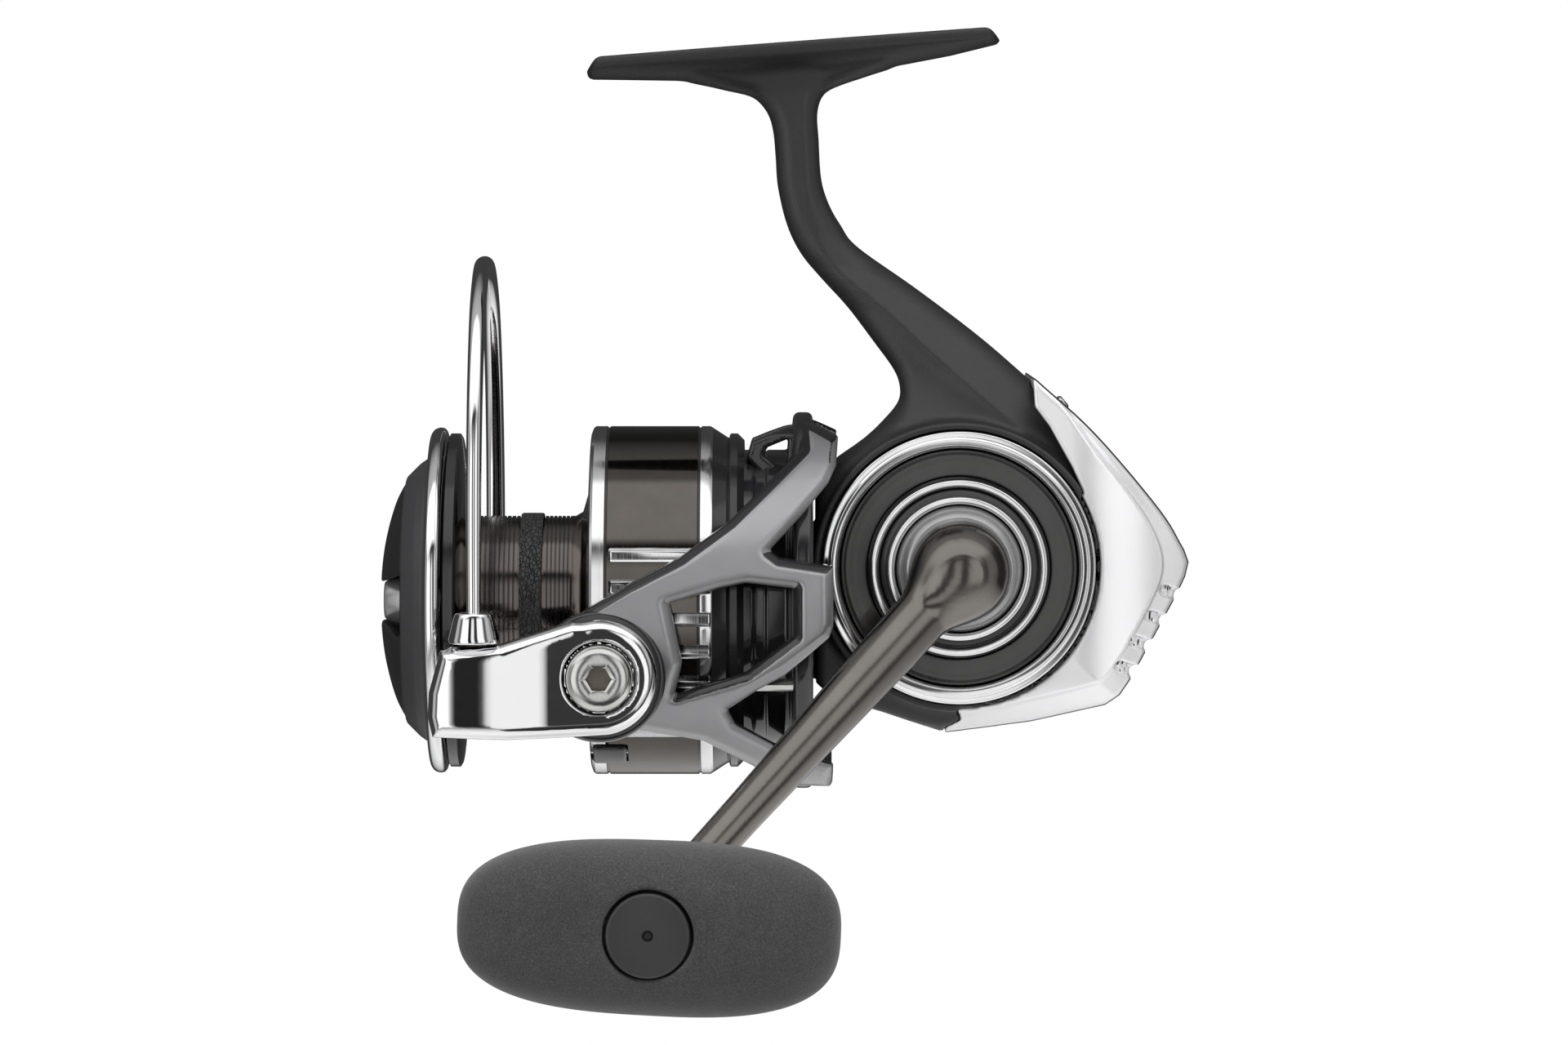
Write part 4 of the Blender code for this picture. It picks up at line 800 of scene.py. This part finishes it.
def make_rotor():
    """Two windowed arms on a turned core, and the bosses and screws that the bail turns on."""
    shape, window = outline(ARM_OUTLINE), outline(ARM_WINDOW)
    gusset = outline([(24.4, 17.4), (25.6, 17), (29.6, 19), (34.4, 23.6), (33.6, 26.4), (27.2, 29), (24.4, 29)])
    opening = outline([(28, 21.4), (31.6, 24.2), (31, 25.6), (27.6, 27)])

    def arms(x, y, z):
        side = both(shape(x, z), -window(x, z), 0.9)
        skin = above_skin(y, z)
        bevel = (skin + side + 1.35) * math.sqrt(0.5)
        shell = both(skin, 29.9 - np.hypot(y, z), 0.6)
        body = both(both(both(side, shell, 0.4), bevel, 0.35), 6 - np.abs(y), 0.8)
        web = both(both(gusset(x, z), -opening(x, z), 0.5), np.abs(np.abs(y) - 8.5) - 2.0, 0.5)
        return np.minimum(body, both(web, np.hypot(y, z) - 29.6, 0.4))

    def edge(at, normal):
        """Above zero on the bevels that face forward or up, where a painted dark reflection darkens the paint, and
        inside the cup.
        """
        _, y, z = at.T
        # Painted dark reflection: bevels whose normals face forward or up turn dark.
        upper = np.minimum(-above_skin(y, z) - 0.16, 0.4 * (normal[:, 0] + normal[:, 2] + 0.1))
        return np.maximum(upper, 30.0 - np.hypot(y, z))

    mesh = marked(surface(arms, (18.5, -36, -32.2), (67, 36, 32.2), 0.45), edge)
    piece("rotor_arms", mesh, "rotor", "rotor_paint", ROTOR_GREY_AND_REFLECTION, "rotor")
    core = rounded([(23.6, 22.8), (23.6, 30.4), (24.2, 31), (26.2, 31), (26.8, 30.4), (27.2, 27),
                    (27.8, 24.8), (31, 24.8), (31.4, 24.4), (33, 24.4), (33.4, 24.8), (50, 24.8), (50, 3.8),
                    (34.8, 3.8), (34.8, 7), (47, 7), (47, 22.8)], 0.5)
    trip_hole = lathe([(20, 0), (20, 1.35), (31, 1.35), (31, 0)], "x", TRIP_PLACE, 32)
    piece("rotor_core", carved(lathe(core, "x"), [trip_hole], 0), "rotor", "black_plastic", BLACK_GLOSS)
    for side, sign in (("near", 1), ("far", -1)):
        at = (PIVOT_X, 0, PIVOT_Z)
        disc = rounded([(30.6, 3.3), (30.6, 10.4), (34.6, 10.6), (35.5, 10.2), (35.5, 3.3)], 0.5)
        mesh = lathe([(sign * h, r, k) for h, r, k in disc], "y", at, 128)
        piece(f"pivot_boss_{side}", mesh, "rotor", "black_plastic", BLACK_GLOSS)
        # Look 1, the hex socket's walls and floor, takes the darker socket finish: painted shade in the recess.
        screw = [(30.9, 0), (30.9, 3), (38.4, 3), (38.4, 5.35), (38.9, 5.4), (39.7, 5.2), (40.35, 4.75),
                 (40.75, 4.1), (40.9, 3.3), (40.9, 2.3), (40.7, 1.8, 1), (38.9, 1.75, 1), (38.9, 0)]
        mesh = lathe([(sign * point[0], *point[1:]) for point in screw], "y", at, 120, hexed=(10, 11))
        piece(f"pivot_bolt_{side}", mesh, "rotor", "steel", [STEEL, SOCKET_SHADE], f"pivot_screw_{side}")


# ------------ bail

BAIL_OUTLINE = [(72.4, -19.9), (84.3, -19.6), (85.1, -16.3), (84.9, -12.4), (83, -5.7), (73.4, -4.6),
                (62.0, -1.0)]


def on_pivot(body, x, z, seat, above):
    """The body with a bore for its pivot screw and a wider seat for the screw's head."""
    hub = np.hypot(x - PIVOT_X, z - PIVOT_Z)
    return np.maximum(less(body, np.maximum(hub - seat, above), 0.3), 3.4 - hub)


def make_bail():
    """The arm with the line roller, the far holder, and the hoop of wire between them."""
    plate = outline([*BAIL_OUTLINE, *arc((PIVOT_X, PIVOT_Z), 9.3, 75, 262, 40)])

    def arm(x, y, z):
        ahead, behind = np.maximum(x - 71, 0), np.maximum(71 - x, 0)
        outer = 39.7 - 0.0045 * ahead ** 2 - 0.00002 * ahead ** 4 - np.where(
            behind < 6, 0.008 * behind ** 2, 0.288 + 0.096 * (behind - 6))
        face = both(plate(x, z), y - outer, 2.3)
        lugs = both(np.minimum(np.abs(z + 6.05) - 0.85, np.abs(z + 17.6) - 1.0), np.abs(x - 78) - 3.6, 0.5)
        lugs = both(lugs, np.maximum(28.9 - y, y - 37), 0.5)
        body = either(both(face, 35.8 - y, 0.5), lugs, 0.8)
        return on_pivot(body, x, z, 5.85, 37.3 - y)

    mesh = surface(arm, (47.5, 28.4, -21), (85, 40.6, 0.5), 0.33)
    piece("bail_arm_near", mesh, "bail", "chrome", CHROME, "bail_arm")
    far_plate = outline([(72.4, -11.5), (80.4, -7.2), (81.4, -3), (74.6, -2.2), (66, -3.2),
                         *arc((PIVOT_X, PIVOT_Z), 8.4, 70, 290, 40)])

    def holder(x, y, z):
        return on_pivot(both(far_plate(x, z), np.abs(y + 37.8) - 2.0, 1.1), x, z, 5.95, 38.0 + y)

    mesh = surface(holder, (48.5, -40.4, -19), (82.5, -35.2, -1), 0.33)
    piece("bail_arm_far", mesh, "bail", "chrome", CHROME, "bail_holder")
    turned("wire_socket", [(-4.5, 0), (-4.5, 4), (-3.9, 4.1), (-3.3, 3.95), (-0.3, 3.2), (0.4, 2.9), (0.4, 1.35),
                           (-0.6, 1.2), (-0.6, 0)],
           0.35, "z", (WIRE_X, 37.2, 0), 96, "bail", "chrome", CHROME, "wire_cone")
    half_hoop = [(37.4, 10), (36, 23), (31.5, 36), (23, 47.5), (11, 54)]
    hoop = [(37.2, -0.5), *half_hoop, (0, 55.3), *((-y, z) for y, z in reversed(half_hoop)), (-37.6, -1.9)]
    route = through([(WIRE_X, y, z) for y, z in hoop], 10)
    radii = np.linspace(1.15, 1.65, len(route)).tolist()
    piece("bail_hoop", tube(route, radii), "bail", "chrome", CHROME, "bail_wire")
    turned("roller", [(-16.2, 2.6), (-16.2, 3.4), (-15.2, 3.35), (-13.6, 2.95), (-12.2, 2.85), (-10.4, 2.9),
                      (-8.4, 3.3), (-7.3, 3.4), (-7.3, 2.6)],
           0.25, "z", (78.0, 32.0, 0), 96, "roller", "bright_ring", CHROME, "line_roller")


# ------------ spool and drag


def grooved(start, end, count, land, groove):
    """Fine grooves turned in the bed from one place to another, their floors with a look of their own, which paints
    the shade in them.
    """
    points = []
    floor = BED_RADIUS - 0.3
    pitch = (end - start) / count
    for i in range(count):
        middle = start + pitch * (i + 0.5)
        points += [(middle - 0.19 * pitch, BED_RADIUS, groove), (middle - 0.12 * pitch, floor, groove),
                   (middle + 0.12 * pitch, floor, groove), (middle + 0.19 * pitch, BED_RADIUS, land)]
    return points


def make_spool():
    """The turned spool, its skirt's two groups of shallow slots, and the lip, clip and band on it."""
    dark, bed, silver, black = 0, 1, 2, 3
    skirt, groove = 28.7, 28.5  # radii
    front = [(83.4, 12.8, dark), (83.4, 27, black), (83.1, 27.5, black), (81.6, 27.5, black), (81.3, 27, dark),
             (80.6, 20.5, bed), (80.3, 15.6, bed), (79.6, 14, bed), (78.6, BED_RADIUS, bed)]
    channel = [(71.8, BED_RADIUS, bed), (71.8, 13.3, bed), (67.5, 13.3, bed), (67.5, BED_RADIUS, bed)]
    # The two narrow grooves round the skirt, near 57 and 42, are black: painted shade in the grooves.
    flange = [(62.6, BED_RADIUS, bed), (61.4, 14.6, bed), (60.4, 18, bed), (59.9, 27.6, silver),
              (59.6, 28.4, silver), (59.2, skirt, silver), (57.3, skirt, black), (57.2, groove, black),
              (56.9, groove, dark), (56.8, skirt, dark), (42.3, skirt, black), (42.2, groove, black),
              (41.9, groove, silver), (41.8, skirt, silver), (40.4, skirt, silver), (39.9, 28.4, black),
              (37.6, 26.9, black), (37.3, 26.8, black), (37.2, 27.3, black), (37, 27.5, black), (35.9, 27.5, black),
              (35.6, 27.2, black), (34.8, 26.4, black), (34.8, 25.7, dark), (56.6, 25.7, dark), (57.6, 14, dark),
              (59, 11, dark), (59, 2.4, dark), (67, 2.4, dark), (67, 11.4, dark), (78.5, 11.4, dark),
              (78.5, 12.8, dark)]
    # The bed's grooves get black floors: painted shade in the grooves.
    profile = [*front, *grooved(78.2, 72.0, 8, bed, black), *channel, *grooved(67.3, 63.2, 6, bed, black), *flange]
    cutters = []
    for group in (-1, 1):
        for i in range(SLOT_GROUP):
            angle = group * SLOT_PITCH * (i - SLOTS_ABOVE) + (math.pi if group < 0 else 0)
            turn = Euler((-angle, 0, 0)).to_matrix().to_4x4()
            cutters.append(rounded_box((40.0, 26.9, -1.15), (56.5, 31, 1.15), 0.5, turn, 3))
    clip_turn = Euler((-math.radians(57), 0, 0)).to_matrix().to_4x4()
    cutters.append(rounded_box((53.6, 27.0, -2.9), (59.9, 32, 2.9), 0.3, clip_turn, 2))
    mesh = carved(lathe(profile, "x", segments=RIM_SEGMENTS), cutters, silver)
    piece("spool_body", mesh, "spool", "spool_metal", [SKIRT_DARK, BED_DARK, SPOOL_SILVER, SPOOL_BLACK], "spool")
    clip = rounded_box((53.9, 27.3, -2.6), (59.3, 29.3, 2.6), 0.55, clip_turn, 4)
    piece("clip", clip, "spool", "black_plastic", BLACK_GLOSS, "line_clip")
    turned("lip", [(83.8, 24.2), (83.8, 27.9), (84.2, 28.4), (85, 28.5), (85.8, 28.2), (86.3, 27.5), (86.3, 24.2)],
           0.3, "x", ORIGIN, RIM_SEGMENTS, "spool", "chrome", CHROME, "spool_lip")
    turned("grip_band", [(67.8, 13.6), (67.8, 14.3), (68.1, 14.4), (71.2, 14.4), (71.5, 14.3), (71.5, 13.6)],
           0.1, "x", ORIGIN, 160, "spool", "rubber", RUBBER, "line_grip_band")


def make_drag_knob():
    """A turned ring, a dome with a channel across it that leaves two finger wings, and the boss between them."""
    turned("drag_ring", [(84.6, 7.5), (84.6, 23), (85, 23.4), (86.9, 23.4), (88.2, 22.5), (90.4, 20.3),
                         (90.4, 19.4), (90, 19.2), (90, 7.5)],
           0.3, "x", ORIGIN, 192, "drag", "black_plastic", KNOB_GREY, "drag_knob")
    dome = outline([(88, -30), (88, 19.6), (90.5, 19.4), *through([(90.9, 18.8), (92, 16.6), (93.1, 13.2),
                    (94, 9.2), (94.5, 5), (94.7, 0), (94.5, -5)], 4)])

    def wings(x, y, z):
        body = dome(x, np.hypot(y, z))
        channel = np.abs(z) - np.interp(x, [90.4, 94.7], [5.3, 3.1])
        body = less(body, np.maximum(channel, 90.6 - x), 0.5)
        return np.maximum(body, -np.maximum(np.hypot(y, z) - 7.5, x - 89.6))

    mesh = surface(wings, (87.5, -20.4, -20.4), (95.2, 20.4, 20.4), 0.4)
    piece("drag_wings", mesh, "drag", "black_plastic", KNOB_BLACK)
    turned("drag_boss", [(94.2, 0), (94.2, 2.9), (93.7, 3.3), (91.1, 4.7), (91.1, 0)],
           0.3, "x", ORIGIN, 96, "drag", "rotor_paint", COLLAR_GREY, "drag_knob_boss")


# ------------ CAD nodes that stay


def finish_inner_nodes():
    """Hidden running gear keeps its CAD shape, with a finish of its own."""
    looks = {
        BRASS: ("drive_gear", "oscillating_gear", "rotor_nut"),
        FELT: ("drag_washer_rear", "drag_washer_front"),
        BLACK_SATIN: ("click_gear", "spool_washer"),
        SPOOL_SILVER: ("slider",),
    }
    named = {node: look for look, nodes in looks.items() for node in nodes}
    for name, obj in frame["nodes"].items():
        if not obj.hide_render:
            obj.data.materials.clear()
            obj.data.materials.append(named.get(name, STEEL))


# ------------ floor, light and camera

# Panels the metal mirrors: (degrees from the camera's side, brightness), forward positive, then upward positive
AROUND = [(-180, 0.05), (-100, 0.05), (-90, 0.5), (-72, 0.5), (-66, 0.12), (-56, 0.12), (-50, 1.1), (-24, 1.1),
          (-19, 0.04), (-7, 0.04), (-5, 1), (8, 1), (10, 0.02), (22, 0.02), (26, 1.3), (58, 1.3), (64, 0.15),
          (74, 0.15), (80, 0.5), (92, 0.5), (100, 0.05), (180, 0.05)]
OVER = [(-180, 0.05), (-125, 0.05), (-100, 0.45), (-60, 0.6), (-30, 0.35), (0, 0.5), (10, 0.25), (30, 0.03),
        (40, 0.05), (45, 1.3), (86, 1.3), (91, 0.5), (112, 0.4), (135, 0.05), (180, 0.05)]


def make_floor():
    """A pale disc under the reel that fades out toward its rim."""
    bm = bmesh.new()
    bmesh.ops.create_circle(bm, cap_ends=True, radius=FLOOR_RADIUS, segments=96)
    mesh = bpy.data.meshes.new("floor")
    bm.to_mesh(mesh)
    bm.free()
    floor = added("floor", mesh)
    floor.location = (0, 0, min(corner.z for corner in cad_box) - FLOOR_DROP)
    made, tree, shader = nodes_of("floor_white")
    from_middle = vector_math(tree, "LENGTH", {0: object_place(tree)}, "Value")
    feed(shader, {"Base Color": (0.58, 0.58, 0.58), "Roughness": 0.8,
                  "Alpha": mapped(tree, from_middle, 1, 0, 0.08, 0.24)})
    mesh.materials.append(made)


def make_world():
    """A dark room with pale panels in front of and above the reel, which the metal mirrors, on plain white."""
    world = bpy.data.worlds.new("studio")
    bpy.context.scene.world = world
    world.use_nodes = True
    tree = world.node_tree
    x, y, z = node(tree, "SeparateXYZ", {0: node(tree, "TexCoord", {}).outputs["Generated"]}).outputs
    around, over = banded(tree, x, y, AROUND), banded(tree, z, y, OVER)
    upper = blend(tree, mapped(tree, z, 0, 1, 0.42, 0.60), around, over)
    whole = blend(tree, mapped(tree, z, 1, 0, -0.45, -0.25), upper, over)
    backdrop = node(tree, "LightPath", {}).outputs["Is Camera Ray"]
    feed(tree.nodes["Background"], {"Color": blend(tree, backdrop, whole, (1, 1, 1))})


def banded(tree, rise, run, levels):
    """Panels of brightness by the direction's angle from the camera's side, in degrees."""
    angle = node(tree, "Math", {0: rise, 1: run}, operation="ARCTAN2").outputs[0]
    ramp = node(tree, "ValToRGB", {0: mapped(tree, angle, 0, 1, -math.pi, math.pi)})
    elements = ramp.color_ramp.elements
    while len(elements) < len(levels):
        elements.new(0.5)
    for element, (degrees, level) in zip(elements, levels):
        element.position = 0.5 + degrees / 360
        element.color = (level, level, level, 1)
    return ramp.outputs["Color"]


def make_lights():
    """Soft panels aimed at the reel, which its metal doesn't mirror: place, size and power."""
    target = Vector((0, 0, -0.08))
    for name, at, size, power in (
        ("key", (-0.35, 0.75, 0.55), (0.6, 0.5), 9),
        ("fill", (0.75, 0.55, 0.1), (0.5, 0.5), 5),
        ("top", (0.05, -0.1, 0.9), (0.7, 0.5), 6),
        ("rim", (-0.8, 0.1, -0.05), (0.4, 0.5), 3),
        ("back", (0.3, -0.85, 0.35), (0.6, 0.5), 6),
    ):
        data = bpy.data.lights.new(name, "AREA")
        data.shape = "RECTANGLE"
        data.size, data.size_y = size
        data.energy = power
        obj = added(name, data)
        obj.location = at
        obj.rotation_euler = (target - Vector(at)).to_track_quat("-Z", "Y").to_euler()
        obj.visible_glossy = False


def make_camera():
    """On the handle side and a little above it, far off, with the spool axis level in the picture."""
    pitch, distance, picture_width, sensor = math.radians(3.0), 1000.0, 258.6, 36
    target = Vector((28.3, 0, 12.8))
    eye = target + Vector((0, math.cos(pitch), math.sin(pitch))) * distance
    data = bpy.data.cameras.new("camera")
    data.sensor_width = sensor
    data.lens = sensor * distance / picture_width
    data.clip_start, data.clip_end = 0.05, 100
    camera = added("camera", data)
    turn = REEL.to_3x3().normalized()
    back = (turn @ (eye - target)).normalized()
    right = -(turn @ Vector((1, 0, 0)))
    facing = Matrix((right, back.cross(right), back)).transposed().to_4x4()
    camera.matrix_world = Matrix.Translation(REEL @ eye) @ facing
    bpy.context.scene.camera = camera


def main():
    make_camera()
    make_housing()
    make_cover()
    make_side_plate()
    make_handle()
    make_knob()
    make_rotor()
    make_bail()
    make_spool()
    make_drag_knob()
    finish_inner_nodes()
    make_floor()
    make_world()
    make_lights()
    bpy.context.scene.view_settings.view_transform = "Standard"


main()
